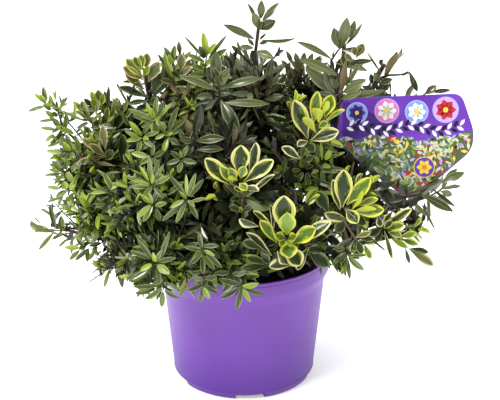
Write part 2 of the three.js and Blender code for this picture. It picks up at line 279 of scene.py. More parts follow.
world = bpy.data.worlds.new("studio")
world.use_nodes = True
world.node_tree.nodes["Background"].inputs["Color"].default_value = (1, 1, 1, 1)
world.node_tree.nodes["Background"].inputs["Strength"].default_value = SURROUND
bpy.context.scene.world = world
bpy.context.scene.view_settings.view_transform = "Standard"

PLANT_MIDDLE = Vector((0, 0, 0.18))
# each lamp's place, size and watts
LAMPS = table("""
lamp_left -1.0 -1.2 1.6 0.5 32, lamp_right 1.5 -0.9 1.0 0.9 3, lamp_above -0.1 0.4 2.2 2.4 90,
lamp_low_left -1.2 0.3 0.35 0.5 6, lamp_low_right 1.2 0.3 0.35 0.5 3""")
for name, (*lamp_place, size, watts) in LAMPS.items():
    light = bpy.data.lights.new(name, "AREA")
    light.energy = watts
    light.size = size
    holder = bpy.data.objects.new(name, light)
    holder.location = lamp_place
    holder.rotation_euler = (PLANT_MIDDLE - holder.location).to_track_quat("-Z", "Y").to_euler()
    bpy.context.scene.collection.objects.link(holder)
print(len(LAMPS), "lamps")

# %% [markdown]
# ## Pot
# A round pot of injection-moulded polypropylene with a collar, a slanting step, a tapered wall, a foot
# band and drainage notches. The CAD pot has flat facets, so a finer one takes its place: the same
# section with rounded corners, turned so that a column falls on each side of a notch. There the wall's
# lower rows are left out and the cut is closed with walls.

# %% Pot dimensions
POT_LOW, POT_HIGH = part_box("pot")
POT_HEIGHT = POT_HIGH.z
RIM_RADIUS = (POT_HIGH.x - POT_LOW.x) / 2
COLLAR_FOOT = POT_HEIGHT - 0.015
WALL_TOP = COLLAR_FOOT - 0.011
WALL_TOP_RADIUS = 0.080
WALL_FOOT_RADIUS = 0.070
FOOT_RADIUS = 0.0665
FOOT_BAND = 0.007
FOOT_BEVEL = 0.002
LIP = 0.0008
WALL = 0.0016
POT_FLOOR = 0.002
NOTCHES = 5
NOTCH_ANGLE = math.radians(25)
NOTCH_HEIGHT = 0.006
NOTCH_INNER_RADIUS = 0.060
FIRST_NOTCH = math.radians(5.6 - 90)
NOTCH_ROWS = 9
NOTCH_SHARES = np.linspace(0, 1, NOTCH_ROWS)


def rounded(points, radius, steps=4):
    """A line with each inner corner cut back by its radius and bridged by a curve: start (1-t)^2,
    corner 2t(1-t), end t^2."""
    points = np.asarray(points, float)
    radii = np.broadcast_to(radius, len(points) - 2)
    t = np.linspace(0, 1, steps + 1)[:, None]
    line = [points[:1]]
    for before, corner, after, cut in zip(points, points[1:], points[2:], radii):
        start = corner + unit(before - corner) * cut
        end = corner + unit(after - corner) * cut
        line.append(start * (1 - t) ** 2 + corner * 2 * t * (1 - t) + end * t**2)
    line.append(points[-1:])
    return np.concatenate(line)


def turned(profile, angles):
    """Points of a profile of (radius, height) turned to each angle, row by row."""
    radius, height = profile[:, :1], profile[:, 1:]
    across = radius * np.cos(angles)
    back = radius * np.sin(angles)
    return np.stack([across, back, np.broadcast_to(height, across.shape)], -1).reshape(-1, 3)


# %% Pot section
def wall_radius(height):
    """The outer radius of the tapered wall at a height."""
    share = (height - FOOT_BAND) / (WALL_TOP - FOOT_BAND)
    return WALL_FOOT_RADIUS + share * (WALL_TOP_RADIUS - WALL_FOOT_RADIUS)


FOOT_AT_NOTCH = FOOT_RADIUS + FOOT_BEVEL + (WALL_FOOT_RADIUS - FOOT_RADIUS - FOOT_BEVEL) * 0.8
INNER_AT_NOTCH = FOOT_AT_NOTCH - WALL
RIDGE = 0.0006  # the fine moulded line above the foot band and under the lip
outer_foot = on_line(rounded([
    (NOTCH_INNER_RADIUS, 0), (FOOT_RADIUS, 0), (FOOT_RADIUS + FOOT_BEVEL, FOOT_BEVEL),
    (FOOT_AT_NOTCH, NOTCH_HEIGHT)], 0.0006), NOTCH_SHARES)
inner_foot = on_line(rounded([
    (INNER_AT_NOTCH, NOTCH_HEIGHT), (FOOT_RADIUS - WALL, POT_FLOOR), (NOTCH_INNER_RADIUS, POT_FLOOR)],
    0.001), NOTCH_SHARES)
outer_wall = rounded([
    (FOOT_AT_NOTCH, NOTCH_HEIGHT), (WALL_FOOT_RADIUS + RIDGE, FOOT_BAND + 0.0004),
    (wall_radius(FOOT_BAND + 0.0022), FOOT_BAND + 0.0022), (wall_radius(0.03), 0.03),
    (wall_radius(0.06), 0.06), (wall_radius(0.09), 0.09), (WALL_TOP_RADIUS, WALL_TOP),
    (RIM_RADIUS, COLLAR_FOOT), (RIM_RADIUS, POT_HEIGHT - 0.0042),
    (RIM_RADIUS - 0.0003, POT_HEIGHT - 0.0036), (RIM_RADIUS - 0.0001, POT_HEIGHT - 0.0008),
    (RIM_RADIUS - LIP, POT_HEIGHT), (RIM_RADIUS - WALL, POT_HEIGHT - 0.0001),
    (RIM_RADIUS - WALL - 0.0001, COLLAR_FOOT), (WALL_TOP_RADIUS - WALL, WALL_TOP),
    (INNER_AT_NOTCH, NOTCH_HEIGHT)],
    [0.0004, 0.0006, 0.001, 0.001, 0.001, 0.0025, 0.0016, 0.0003, 0.0003, 0.0005, 0.0004, 0.0004,
     0.0015, 0.0015])
under = np.array([(0.010, 0), (0.030, 0), (0.048, 0)])
on_floor = np.array([(0.045, POT_FLOOR), (0.02, POT_FLOOR)])
pot_profile = np.concatenate([under, outer_foot, outer_wall[1:-1], inner_foot, on_floor])
NOTCH_COLUMNS, WALL_COLUMNS = 16, 30
between_notches = TURN / NOTCHES - NOTCH_ANGLE
one_turn = np.concatenate([
    np.linspace(0, NOTCH_ANGLE, NOTCH_COLUMNS, endpoint=False),
    NOTCH_ANGLE + np.linspace(0, between_notches, WALL_COLUMNS, endpoint=False)])
pot_angles = np.concatenate([
    one_turn + FIRST_NOTCH - NOTCH_ANGLE / 2 + turn * TURN / NOTCHES for turn in range(NOTCHES)])
print(len(pot_profile), "rows,", len(pot_angles), "columns")


# %% Pot mesh
def pot_mesh():
    """The turned profile without the notches' quads, with the notches' own walls."""
    columns = len(pot_angles)
    rows = len(pot_profile)
    outer = len(under) + np.arange(NOTCH_ROWS)  # from the underside out and up to the notch's top
    inner = rows - len(on_floor) - NOTCH_ROWS + np.arange(NOTCH_ROWS)
    points = turned(pot_profile, pot_angles)
    quads = grid_faces(rows, columns).reshape(rows - 1, columns, 4)
    open_column = (np.arange(columns) % (NOTCH_COLUMNS + WALL_COLUMNS)) < NOTCH_COLUMNS
    kept = np.ones((rows - 1, columns), bool)
    for foot in (outer, inner):
        kept[foot[0]:foot[-1]] &= ~open_column
    start = np.flatnonzero(open_column)
    after = (start + 1) % columns
    lintel, sill = (np.stack([a * columns + start, a * columns + after,
                              b * columns + after, b * columns + start], -1)
                    for a, b in ((outer[-1], inner[0]), (inner[-1], outer[0])))
    pairs = inner[::-1]  # the inner row that faces each outer row
    first = start[start % (NOTCH_COLUMNS + WALL_COLUMNS) == 0]
    last = (first + NOTCH_COLUMNS) % columns
    side = []
    for edge, way in ((first, 1), (last, -1)):
        for a, b, c, d in zip(outer, outer[1:], pairs, pairs[1:]):
            side.append(np.stack([row * columns + edge for row in (a, b, d, c)], -1)[:, ::way])
    ends = [fan_faces(rows * columns, np.arange(columns), outwards=False),
            fan_faces(rows * columns + 1, (rows - 1) * columns + np.arange(columns))]
    points = np.concatenate([points, [(0, 0, 0), (0, 0, POT_FLOOR)]])
    return points, [quads[kept], lintel, sill, *side, *ends]


# %% [markdown]
# The plastic is satin, with a very fine grain from the mould and a broad, faint unevenness where it
# cooled, which shifts the colour a little. Its colour is also darkened towards the foot, as painted shade.

# %% Pot finish
pot_plastic = finish_of("violet_pot_plastic", (104, 49, 158), 0.42)
place = node(pot_plastic, "ShaderNodeTexCoord")
parts = node(pot_plastic, "ShaderNodeSeparateXYZ")
height = node(pot_plastic, "ShaderNodeMapRange", From_Max=0.11)
join(place.outputs["Object"], parts.inputs["Vector"])
join(parts.outputs["Z"], height.inputs["Value"])
# the height term paints shade: the colour runs darker towards the foot
unevenness_and_foot_shade = node(pot_plastic, "ShaderNodeMath")  # noise times 0.4, plus the height
unevenness_and_foot_shade.operation = "MULTIPLY_ADD"
unevenness_and_foot_shade.inputs[1].default_value = 0.4
join(noise(pot_plastic, 14, 2.0), unevenness_and_foot_shade.inputs[0])
join(height.outputs["Result"], unevenness_and_foot_shade.inputs[2])
mottle(pot_plastic, unevenness_and_foot_shade.outputs["Value"],
       (0.12, 78, 29, 138), (0.6, 95, 41, 150), (1.0, 103, 50, 157))
gloss = node(pot_plastic, "ShaderNodeMapRange", To_Min=0.36, To_Max=0.48)
join(noise(pot_plastic, 60), gloss.inputs["Value"])
join(gloss.outputs["Result"], shader_of(pot_plastic).inputs["Roughness"])
bump(pot_plastic, noise(pot_plastic, 900, 2.0), 0.00006, 0.5)

points, faces = pot_mesh()
pot = mesh_piece("pot_turned", points, faces, [pot_plastic], sharp=math.radians(40))
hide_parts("pot")

# %% [markdown]
# ## Compost
# Dark bark compost, a finger's width under the rim: a grid of rings whose heights are raised by waves
# of several lengths, with small crumbs of bark on it.

# %% Compost mesh
SOIL_LOW, SOIL_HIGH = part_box("root_ball")
SOIL_TOP = SOIL_HIGH.z
SOIL_RADIUS = (SOIL_HIGH.x - SOIL_LOW.x) / 2
SOIL_FOOT = 0.0023
LUMPS = 0.0013
random = np.random.default_rng(7)


def lumpy(x, y, dice, waves=26, shortest=0.006, longest=0.05):
    """The sum of plane waves of random direction and length, each as high as the root of its length."""
    length = np.exp(dice.uniform(np.log(shortest), np.log(longest), waves))
    turn = dice.uniform(0, TURN, waves)
    phase = dice.uniform(0, TURN, waves)
    angle = TURN * (x[..., None] * np.cos(turn) + y[..., None] * np.sin(turn)) / length + phase
    return (np.sin(angle) * length**0.5).sum(-1) / (length**0.5).sum() * 2


def compost_mesh(rings=46, columns=150):
    """Rings from the middle out, raised by the lumps, then down the side."""
    angles = np.linspace(0, TURN, columns, endpoint=False)
    radii = np.linspace(0.0012, SOIL_RADIUS, rings)
    top = np.stack([radii, np.full(rings, SOIL_TOP - 0.0008)], 1)
    side = np.array([
        (SOIL_RADIUS + 0.0004, SOIL_TOP - 0.003), (WALL_TOP_RADIUS - WALL - 0.0006, WALL_TOP),
        (WALL_FOOT_RADIUS - WALL - 0.0016, 0.011), (FOOT_RADIUS - WALL - 0.0036, SOIL_FOOT),
        (0.02, SOIL_FOOT)])
    profile = np.concatenate([top, side])
    points = turned(profile, angles)
    on_top = np.arange(len(points)) < rings * columns
    points[on_top, 2] += LUMPS * lumpy(points[on_top, 0], points[on_top, 1], random)
    count = len(points)
    points = np.concatenate([points, [(0, 0, points[:columns, 2].mean()), (0, 0, SOIL_FOOT)]])
    faces = [grid_faces(len(profile), columns)[:, ::-1],
             fan_faces(count, np.arange(columns)),
             fan_faces(count + 1, (len(profile) - 1) * columns + np.arange(columns), outwards=False)]
    return points, faces


compost_finish = finish_of("bark_compost", (38, 29, 23), 0.95)
mottle(compost_finish, noise(compost_finish, 260, 4.0),
       (0.35, 18, 13, 11), (0.55, 38, 28, 22), (0.75, 72, 54, 40))
bump(compost_finish, noise(compost_finish, 420, 4.0), 0.0008)
points, faces = compost_mesh()
compost = mesh_piece("compost", points, faces, [compost_finish])
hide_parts("root_ball")

# %% [markdown]
# The crumbs are one joined mesh of chips: cubes whose corners are pushed about, flattened and turned.

# %% Crumbs of bark
CRUMBS = 900
CUBE = np.array([(x, y, z) for z in (-1, 1) for y in (-1, 1) for x in (-1, 1)], float)
CUBE_FACES = np.array([(0, 2, 3, 1), (4, 5, 7, 6), (0, 1, 5, 4), (2, 6, 7, 3), (0, 4, 6, 2), (1, 3, 7, 5)])


def chips(count, dice):
    """Corners of a cube, each pushed by up to a third, stretched, turned about the vertical and set
    down at a radius that grows with the root of a random number, so that they lie evenly."""
    size = dice.uniform(0.0007, 0.0026, (count, 1, 1))
    size = size * dice.uniform((0.7, 0.5, 0.25), (1.3, 0.9, 0.5), (count, 1, 3))
    corners = (CUBE + dice.uniform(-0.33, 0.33, (count, 8, 3))) * size
    turn = dice.uniform(0, TURN, (count, 1))
    x = corners[..., 0] * np.cos(turn) - corners[..., 1] * np.sin(turn)
    y = corners[..., 0] * np.sin(turn) + corners[..., 1] * np.cos(turn)
    radius = (SOIL_RADIUS - 0.003) * np.sqrt(dice.uniform(0, 1, (count, 1)))
    around = dice.uniform(0, TURN, (count, 1))
    lift = SOIL_TOP - 0.0004 + dice.uniform(0, 0.0012, (count, 1))
    return np.stack([x + radius * np.cos(around), y + radius * np.sin(around), corners[..., 2] + lift], -1)


crumb_points = chips(CRUMBS, random)
crumb_faces = (CUBE_FACES[None] + np.arange(CRUMBS)[:, None, None] * 8).reshape(-1, 4)
crumb_finish = finish_of("bark_crumbs", (52, 38, 29), 0.9)
dark_crumb_finish = finish_of("dark_bark_crumbs", (26, 20, 17), 0.95)
crumb_shade = np.repeat(random.uniform(size=CRUMBS) < 0.6, 6).astype(int)
crumbs = mesh_piece("compost_crumbs", crumb_points.reshape(-1, 3), [crumb_faces],
                    [crumb_finish, dark_crumb_finish], crumb_shade)

# %% [markdown]
# ## Label plate
# A picture label is a thin plate on a stick that is pushed into the compost. It leans back, so its plane
# is set up first: across, up and out of the plate. Plate and stick are their outlines as closed loops,
# shrunk a little at the two faces, with a fan over each.

# %% Label plane
LABEL_CENTRE = np.array([0.150, 0.020, 0.215])
LABEL_LEAN = math.radians(15)
LABEL_ACROSS = np.array([1.0, 0.0, 0.0])
LABEL_UP = np.array([0, math.sin(LABEL_LEAN), math.cos(LABEL_LEAN)])
LABEL_FACE = np.array([0, -math.cos(LABEL_LEAN), math.sin(LABEL_LEAN)])
PANEL_CORNERS = np.array([(-0.062, 0.020), (-0.022, -0.014), (0.014, -0.040), (0.072, 0.010),
                          (0.0745, 0.028), (0.061, 0.066), (-0.055, 0.061)])
PANEL_ROUND = 0.009
PLATE = 0.0004  # half of the thickness
STICK_TOP, STICK_FOOT = np.array([-0.014, -0.008]), np.array([-0.110, -0.0991])
STICK_WIDTH = 0.009


def label_point(across, up, out):
    """The label's centre plus the three distances along its own directions."""
    across, up, out = np.broadcast_arrays(across, up, out)
    return (LABEL_CENTRE + across[..., None] * LABEL_ACROSS + up[..., None] * LABEL_UP
            + out[..., None] * LABEL_FACE)


def plates(outlines, rows):
    """Closed plates from outlines, (n, k, 2), that wind to the left. rows lists (inset, out) from back
    to front: each loop is the outline moved towards its middle by the inset."""
    middle = outlines.mean(1, keepdims=True)
    away = outlines - middle
    reach = np.linalg.norm(away, axis=-1, keepdims=True)
    loops = [label_point(*np.moveaxis(middle + away * (1 - inset / reach), -1, 0), out)
             for inset, out in rows]
    ends = [label_point(*np.moveaxis(middle, -1, 0), rows[end][1]) for end in (0, -1)]
    return closed_skins(np.stack(loops, 1), np.concatenate(ends, 1))


def closed_rounding(corners, radius, steps=6):
    """An outline with each corner rounded: the line's rounding, carried once round."""
    corners = np.asarray(corners, float)
    middles = (corners + np.roll(corners, -1, 0)) / 2
    line = np.stack([corners, middles], 1).reshape(-1, 2)
    line = np.concatenate([line[-1:], line])
    cuts = np.tile([radius, 1e-5], len(corners))[:len(line) - 2]
    return rounded(line, cuts, steps)[:-1]


# %% Label pieces
label_finish = finish_of("violet_label_plastic", (108, 60, 178), 0.3)
mottle(label_finish, noise(label_finish, 16, 1.0), (0.3, 92, 46, 158), (0.7, 118, 68, 190))
label_edge_finish = finish_of("label_stick_plastic", (150, 118, 205), 0.35)

panel_outline = closed_rounding(PANEL_CORNERS, PANEL_ROUND)
panel = plates(panel_outline[None], [(0.0002, -PLATE), (0, -PLATE / 2), (0, PLATE / 2), (0.0002, PLATE)])
along_stick = unit(STICK_FOOT - STICK_TOP)
beside_stick = np.array([along_stick[1], -along_stick[0]])


def strip_outline(start, end, width, stations=14):
    """A straight strip's outline: up one side in even steps and back down the other."""
    line = start + (end - start) * np.linspace(0, 1, stations)[:, None]
    return np.concatenate([line - beside_stick * width / 2, line[::-1] + beside_stick * width / 2])


stick = plates(strip_outline(STICK_TOP, STICK_FOOT, STICK_WIDTH)[None],
               [(0.0003, -PLATE), (0, -PLATE / 2), (0, PLATE / 2 - 0.0001), (0.0003, PLATE - 0.0001)])
rib = plates(strip_outline(STICK_TOP + along_stick * 0.03, STICK_FOOT, 0.0018)[None],
             [(0, -PLATE / 2), (0.0001, PLATE + 0.0003)])
points, faces = joined([panel, stick, rib])
panel_faces = sum(len(part) for part in panel[1])
plate_finish = np.ones(sum(len(part) for part in faces), int)
plate_finish[:panel_faces] = 0
label = mesh_piece("label_plate", points, faces, [label_finish, label_edge_finish], plate_finish)
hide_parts("plant_label")

# %% [markdown]
# ## Label print
# The print is kept generic: a violet field with medallions and a garland over a field of small leaves.
# Each shape is a very thin closed plate, and no layer shares a plane with another.

# %% Print colours and layers
PRINT_LAYER = 0.00006
PRINT_COLOURS = table("""
violet 104 56 178, deep_violet 70 34 128, lilac 190 168 232, leaf_dark 30 44 30,
leaf_green 74 104 48, leaf_fresh 124 156 70, leaf_pale 206 214 176, mist 84 98 72,
leaf_blue 112 140 128, red 190 40 54, yellow 236 206 70, pink 232 120 190, sky 110 160 226,
white 240 238 244, black 24 20 30, orange 230 120 50""")
PRINT_FINISHES = [finish_of("print_" + name, tint, 0.32) for name, tint in PRINT_COLOURS.items()]
PRINT_INDEX = {name: i for i, name in enumerate(PRINT_COLOURS)}
print_parts, print_shades = [], []


def print_shapes(outlines, layer, shades):
    """Adds plates of one print layer; shades is one colour name or one for each outline."""
    front = PLATE + PRINT_LAYER * layer
    part = plates(outlines, [(0, front - PRINT_LAYER * 0.8), (0, front)])
    index = np.array([PRINT_INDEX[name] for name in np.broadcast_to(shades, len(outlines))])
    print_parts.append(part)
    print_shades.append([np.repeat(index, len(group) // len(outlines)) for group in part[1]])


def petals(centres, turns, lengths, widths, sides=10):
    """Pointed ovals, each from its centre along its turn, as wide as the sine of the share of their
    length."""
    t = np.linspace(0, 1, sides // 2 + 1)
    along = np.concatenate([t, t[-2:0:-1]])
    beside = np.concatenate([-np.sin(math.pi * t), np.sin(math.pi * t[-2:0:-1])])
    way = np.stack([np.cos(turns), np.sin(turns)], -1)[:, None]
    side = np.stack([-np.sin(turns), np.cos(turns)], -1)[:, None]
    lengths, widths = (np.broadcast_to(sizes, len(turns))[:, None] for sizes in (lengths, widths))
    return (np.asarray(centres)[:, None] + way * (along * lengths)[..., None]
            + side * (beside * widths / 2)[..., None])


def disc(centre, radius, sides=24):
    """A round outline: the centre plus the radius times the cosine and sine of the angle."""
    angle = np.arange(sides) * TURN / sides
    return centre + radius * np.stack([np.cos(angle), np.sin(angle)], -1)[None]


def medallion(centre, radius, edge, count, petal, eye, layer, tints):
    """Two discs, petals round the middle and an eye, each one layer over the last."""
    turns = np.arange(count) * TURN / count
    shapes = (disc(centre, radius), disc(centre, radius - edge), petals([centre], turns, *petal),
              disc(centre, *eye))
    for step, (shape, tint) in enumerate(zip(shapes, tints)):
        print_shapes(shape, layer + step, tint)


# %% Print fields
FIELD_INSET = 0.0012
HORIZON = np.array([(-0.064, 0.024), (-0.040, 0.022), (-0.012, 0.025), (0.020, 0.020), (0.046, 0.023),
                    (0.075, 0.030)])
LEAFY_ENDS = (-0.0585, 0.0725)
DUSK_ENDS = (-0.054, -0.006)
loop = np.roll(panel_outline, -panel_outline[:, 0].argmin(), 0)
turning = loop[:, 0].argmax()
lower_edge, upper_edge = loop[:turning + 1], np.concatenate([loop[turning:], loop[:1]])[::-1]


def edge_low(across):
    return np.interp(across, *lower_edge.T) + FIELD_INSET


def edge_high(across):
    return np.interp(across, *upper_edge.T) - FIELD_INSET


def horizon(across):
    """The height where the leafy field ends: a gently wavy line."""
    return np.interp(across, *HORIZON.T) + 0.0012 * np.sin(across * 190)


def field(across, low, high):
    """The outline between two lines: one to the right and the other back."""
    return np.concatenate([np.stack([across, low], -1), np.stack([across, high], -1)[::-1]])[None]


across = np.linspace(*LEAFY_ENDS, 60)
top = np.maximum(np.minimum(horizon(across), edge_high(across)), edge_low(across) + 0.0004)
print_shapes(field(across, edge_low(across), top), 1, "mist")
across = np.linspace(*DUSK_ENDS, 30)
slant = (across - DUSK_ENDS[0]) * 0.5
print_shapes(field(across, horizon(across) + 0.0008, edge_high(across) - slant), 1, "deep_violet")

# %% Printed leaves and blossoms
PRINTED_LEAVES = 1100
LEAF_SHARES = {"leaf_green": 0.13, "leaf_fresh": 0.17, "leaf_pale": 0.29, "leaf_blue": 0.11,
               "leaf_dark": 0.07, "lilac": 0.10, "red": 0.06, "yellow": 0.07}
FIELD_LEFT, FIELD_RIGHT = -0.058, 0.072
dice = np.random.default_rng(31)
places = np.stack([dice.uniform(FIELD_LEFT, FIELD_RIGHT, PRINTED_LEAVES),
                   dice.uniform(-0.042, 0.034, PRINTED_LEAVES)], -1)
printed = petals(places, dice.uniform(0, TURN, PRINTED_LEAVES),
                 dice.uniform(0.0040, 0.0100, PRINTED_LEAVES),
                 dice.uniform(0.0016, 0.0036, PRINTED_LEAVES))
across, up = printed[..., 0], printed[..., 1]
inside = (up > edge_low(across)) & (up < horizon(across) + 0.002) & (up < edge_high(across))
printed = printed[(inside & (across > FIELD_LEFT) & (across < FIELD_RIGHT)).all(1)]
tints = dice.choice(list(LEAF_SHARES), len(printed), p=list(LEAF_SHARES.values()))
for layer, part in enumerate(np.array_split(np.arange(len(printed)), 4)):
    print_shapes(printed[part], 2 + layer, tints[part])

MEDALLIONS = [  # across, up, radius, ground, petals' colour
    (-0.040, 0.047, 0.0105, "sky", "deep_violet"), (-0.011, 0.049, 0.0122, "pink", "white"),
    (0.018, 0.048, 0.0115, "sky", "white"), (0.046, 0.050, 0.0128, "lilac", "red"),
]
for across, up, radius, ground, tint in MEDALLIONS:
    medallion((across, up), radius, 0.0012, 7, (radius * 0.8, radius * 0.55), (radius * 0.2, 12), 2,
              ("lilac", ground, tint, "yellow"))

GARLAND = 38
VINE_WAVE, VINE_TURNS = 0.0028, 120
at = np.linspace(-0.050, 0.060, GARLAND)
vine = np.stack([at, 0.0322 + VINE_WAVE * np.sin(at * VINE_TURNS)], -1)
vine_turn = np.arctan2(VINE_WAVE * VINE_TURNS * np.cos(at * VINE_TURNS), 1.0)
vine_turn += np.where(np.arange(GARLAND) % 2, 0.75, -0.75)
print_shapes(petals(vine, vine_turn, 0.0080, 0.0034), 6,
             np.where(np.arange(GARLAND) % 4 < 2, "white", "black"))
medallion((0.026, -0.006), 0.0105, 0.0009, 6, (0.0078, 0.0050), (0.0022, 16), 6,
          ("yellow", "violet", "yellow", "orange"))
points, faces = joined(print_parts)
print_finish = np.concatenate([shade for group in print_shades for shade in group])
label_print = mesh_piece("label_print", points, faces, PRINT_FINISHES, print_finish)

# %% [markdown]
# ## Limbs
# The stems stand in the compost, and the boughs leave them for the masses, on the same curves as the
# CAD limbs. A hebe's bark is ringed by the scars of fallen leaf pairs, so the radius of a limb's tube
# swells at every scar and wavers with fine ridges.

# %% Curves of the limbs
# a stem: its foot and its top, each across and back, the top's height, and the radius under the flare
# and at the top
STEMS = table("""
green -0.024 -0.016 -0.046 -0.030 0.176 0.0046 0.0032,
dark 0.006 0.026 0.010 0.034 0.214 0.0052 0.0034,
cream 0.026 -0.024 0.036 -0.044 0.172 0.0044 0.0031,
back -0.034 0.026 -0.052 0.044 0.196 0.0042 0.0030""")
# a bough, named after the mass it feeds: its stem, how far up it, and how deep its middle sags
BOUGHS = table("""
left_upper green 0.86 0.010, left_tip green 0.16 0.012, left green 0.5 0.008,
left_low green 0.24 -0.006, left_middle green 0.95 0.0, front_left green 0.62 -0.004,
front green 0.4 -0.006, middle green 0.97 0.0, top_left back 0.94 0.006, cream_left back 0.8 0.012,
back_left back 0.5 0.004, back back 0.66 0.004, top dark 0.97 0.0, right_top dark 0.88 0.006,
back_top dark 0.95 0.004, right_back dark 0.68 0.010, back_right dark 0.45 0.004,
cream_front_top cream 0.95 0.004, cream_front cream 0.75 0.0, cream_upper cream 0.97 0.0,
cream_right cream 0.85 0.006, right_patch cream 0.45 -0.004, cream_right_low cream 0.3 0.004,
right cream 0.6 0.008""")
TIP_MASSES = {  # masses with no bough: the mass whose shoots feed them
    "left_upper_tip": "left_upper", "top_shoot": "top", "right_shoot": "right_top",
    "right_back_shoot": "right_back",
}
STEM_FOOT = 0.119
BOUGH_THICK, BOUGH_THIN = 0.0026, 0.0014
FLARE, FLARE_LENGTH = 0.0026, 0.005
CURVE_SAMPLES = 40


def on_curve(controls, shares):
    """Points of a curve at shares of its length. The curve weights each control by its binomial number
    times t to its place times (1-t) to the places left."""
    controls = np.asarray(controls, float)
    order = len(controls) - 1
    t = np.linspace(0, 1, CURVE_SAMPLES)[:, None]
    weights = [math.comb(order, i) * t**i * (1 - t) ** (order - i) for i in range(order + 1)]
    return on_line(sum(weight * control for weight, control in zip(weights, controls)), shares)


def stem_controls(stem):
    foot, top, height = np.array(stem[:2]), np.array(stem[2:4]), stem[4]
    rise = height - STEM_FOOT
    return [(*foot, STEM_FOOT), (*foot, STEM_FOOT + rise * 0.4),
            (*((foot + top) / 2), height - rise * 0.3), (*top, height)]


def mass_box(name):
    """Centre and half sizes of a foliage mass."""
    low, high = (np.array(corner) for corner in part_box("foliage_" + name))
    return (low + high) / 2, (high - low) / 2


MASSES = {name[len("foliage_"):]: mass_box(name[len("foliage_"):])
          for name in sorted(frame["nodes"]) if name.startswith("foliage_")}


def bough_controls(name):
    stem, at, sag = BOUGHS[name]
    start = on_curve(stem_controls(STEMS[stem]), [at])[0]
    end = MASSES[name][0]
    return [start, (start + end) / 2 - (0, 0, sag), end]


limb_curves = {"stem_" + name: stem_controls(stem) for name, stem in STEMS.items()}
limb_curves |= {"bough_" + name: bough_controls(name) for name in BOUGHS}
print(len(limb_curves), "limbs")


# %% Tubes
def tubes(paths, radii, sides):
    """Closed tubes round n paths of s points: round each, in the plane across the path, lies a ring at
    its radius. radii is (n, s), or (n, s, sides) where the ring isn't round."""
    along = unit(np.gradient(paths, axis=1))
    axis = np.eye(3)[np.abs(along.mean(1)).argmin(-1)][:, None]
    side = unit(np.cross(along, np.broadcast_to(axis, along.shape)))
    other = np.cross(along, side)
    angle = np.arange(sides) * TURN / sides
    ring = side[:, :, None] * np.cos(angle)[:, None] + other[:, :, None] * np.sin(angle)[:, None]
    if radii.ndim == 2:
        radii = radii[..., None]
    return closed_skins(paths[:, :, None] + ring * radii[..., None], paths[:, [0, -1]])


# %% Bark on the limbs
SCAR_SPACING, SCAR_HEIGHT, SCAR_WIDTH = 0.0075, 0.0004, 0.0009
LIMB_STEP = 0.0011
STEM_SIDES, BOUGH_SIDES = 20, 12


def bark_radii(radius, length, dice, sides):
    """The radius along a limb and round it: raised in a narrow ring at each leaf scar, and by low
    ridges that run along the limb."""
    at = np.linspace(0, length, len(radius))[:, None]
    around = np.arange(sides)[None] * TURN / sides
    from_scar = (at + SCAR_SPACING / 2) % SCAR_SPACING - SCAR_SPACING / 2
    scar = np.exp(-((from_scar / SCAR_WIDTH) ** 2))
    ridges = np.sin(3 * around + at * 180 + dice.uniform(0, 6)) + np.sin(7 * around - at * 320)
    return radius[:, None] * (1 + 0.045 * ridges) + SCAR_HEIGHT * scar


def limb_mesh(name, dice):
    """One limb's tube, with a step about every millimetre."""
    kind, rest = name.split("_", 1)
    controls = limb_curves[name]
    length = length_of(on_curve(controls, np.linspace(0, 1, 60)))
    share = np.linspace(0, 1, int(length / LIMB_STEP) + 2)
    if kind == "stem":
        thick, thin = STEMS[rest][5:]
        radius = thick + (thin - thick) * share + FLARE * np.exp(-share * length / FLARE_LENGTH)
        sides = STEM_SIDES
    else:
        radius = BOUGH_THICK + (BOUGH_THIN - BOUGH_THICK) * share
        sides = BOUGH_SIDES
    radii = bark_radii(radius, length, dice, sides)
    return tubes(on_curve(controls, share)[None], radii[None], sides)


bark = finish_of("hebe_bark", (74, 54, 46), 0.75)
mottle(bark, noise(bark, 160, 4.0, (1, 1, 0.4)), (0.3, 34, 23, 21), (0.55, 62, 45, 37), (0.75, 92, 72, 58))
bump(bark, noise(bark, 700, 3.0, (1, 1, 0.35)), 0.0003)
for kind in ("stem", "bough"):
    names = [name for name in limb_curves if name.startswith(kind)]
    points, faces = joined([limb_mesh(name, random) for name in names])
    limbs = mesh_piece(kind + "s_with_bark", points, faces, [bark])
    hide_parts(*names)
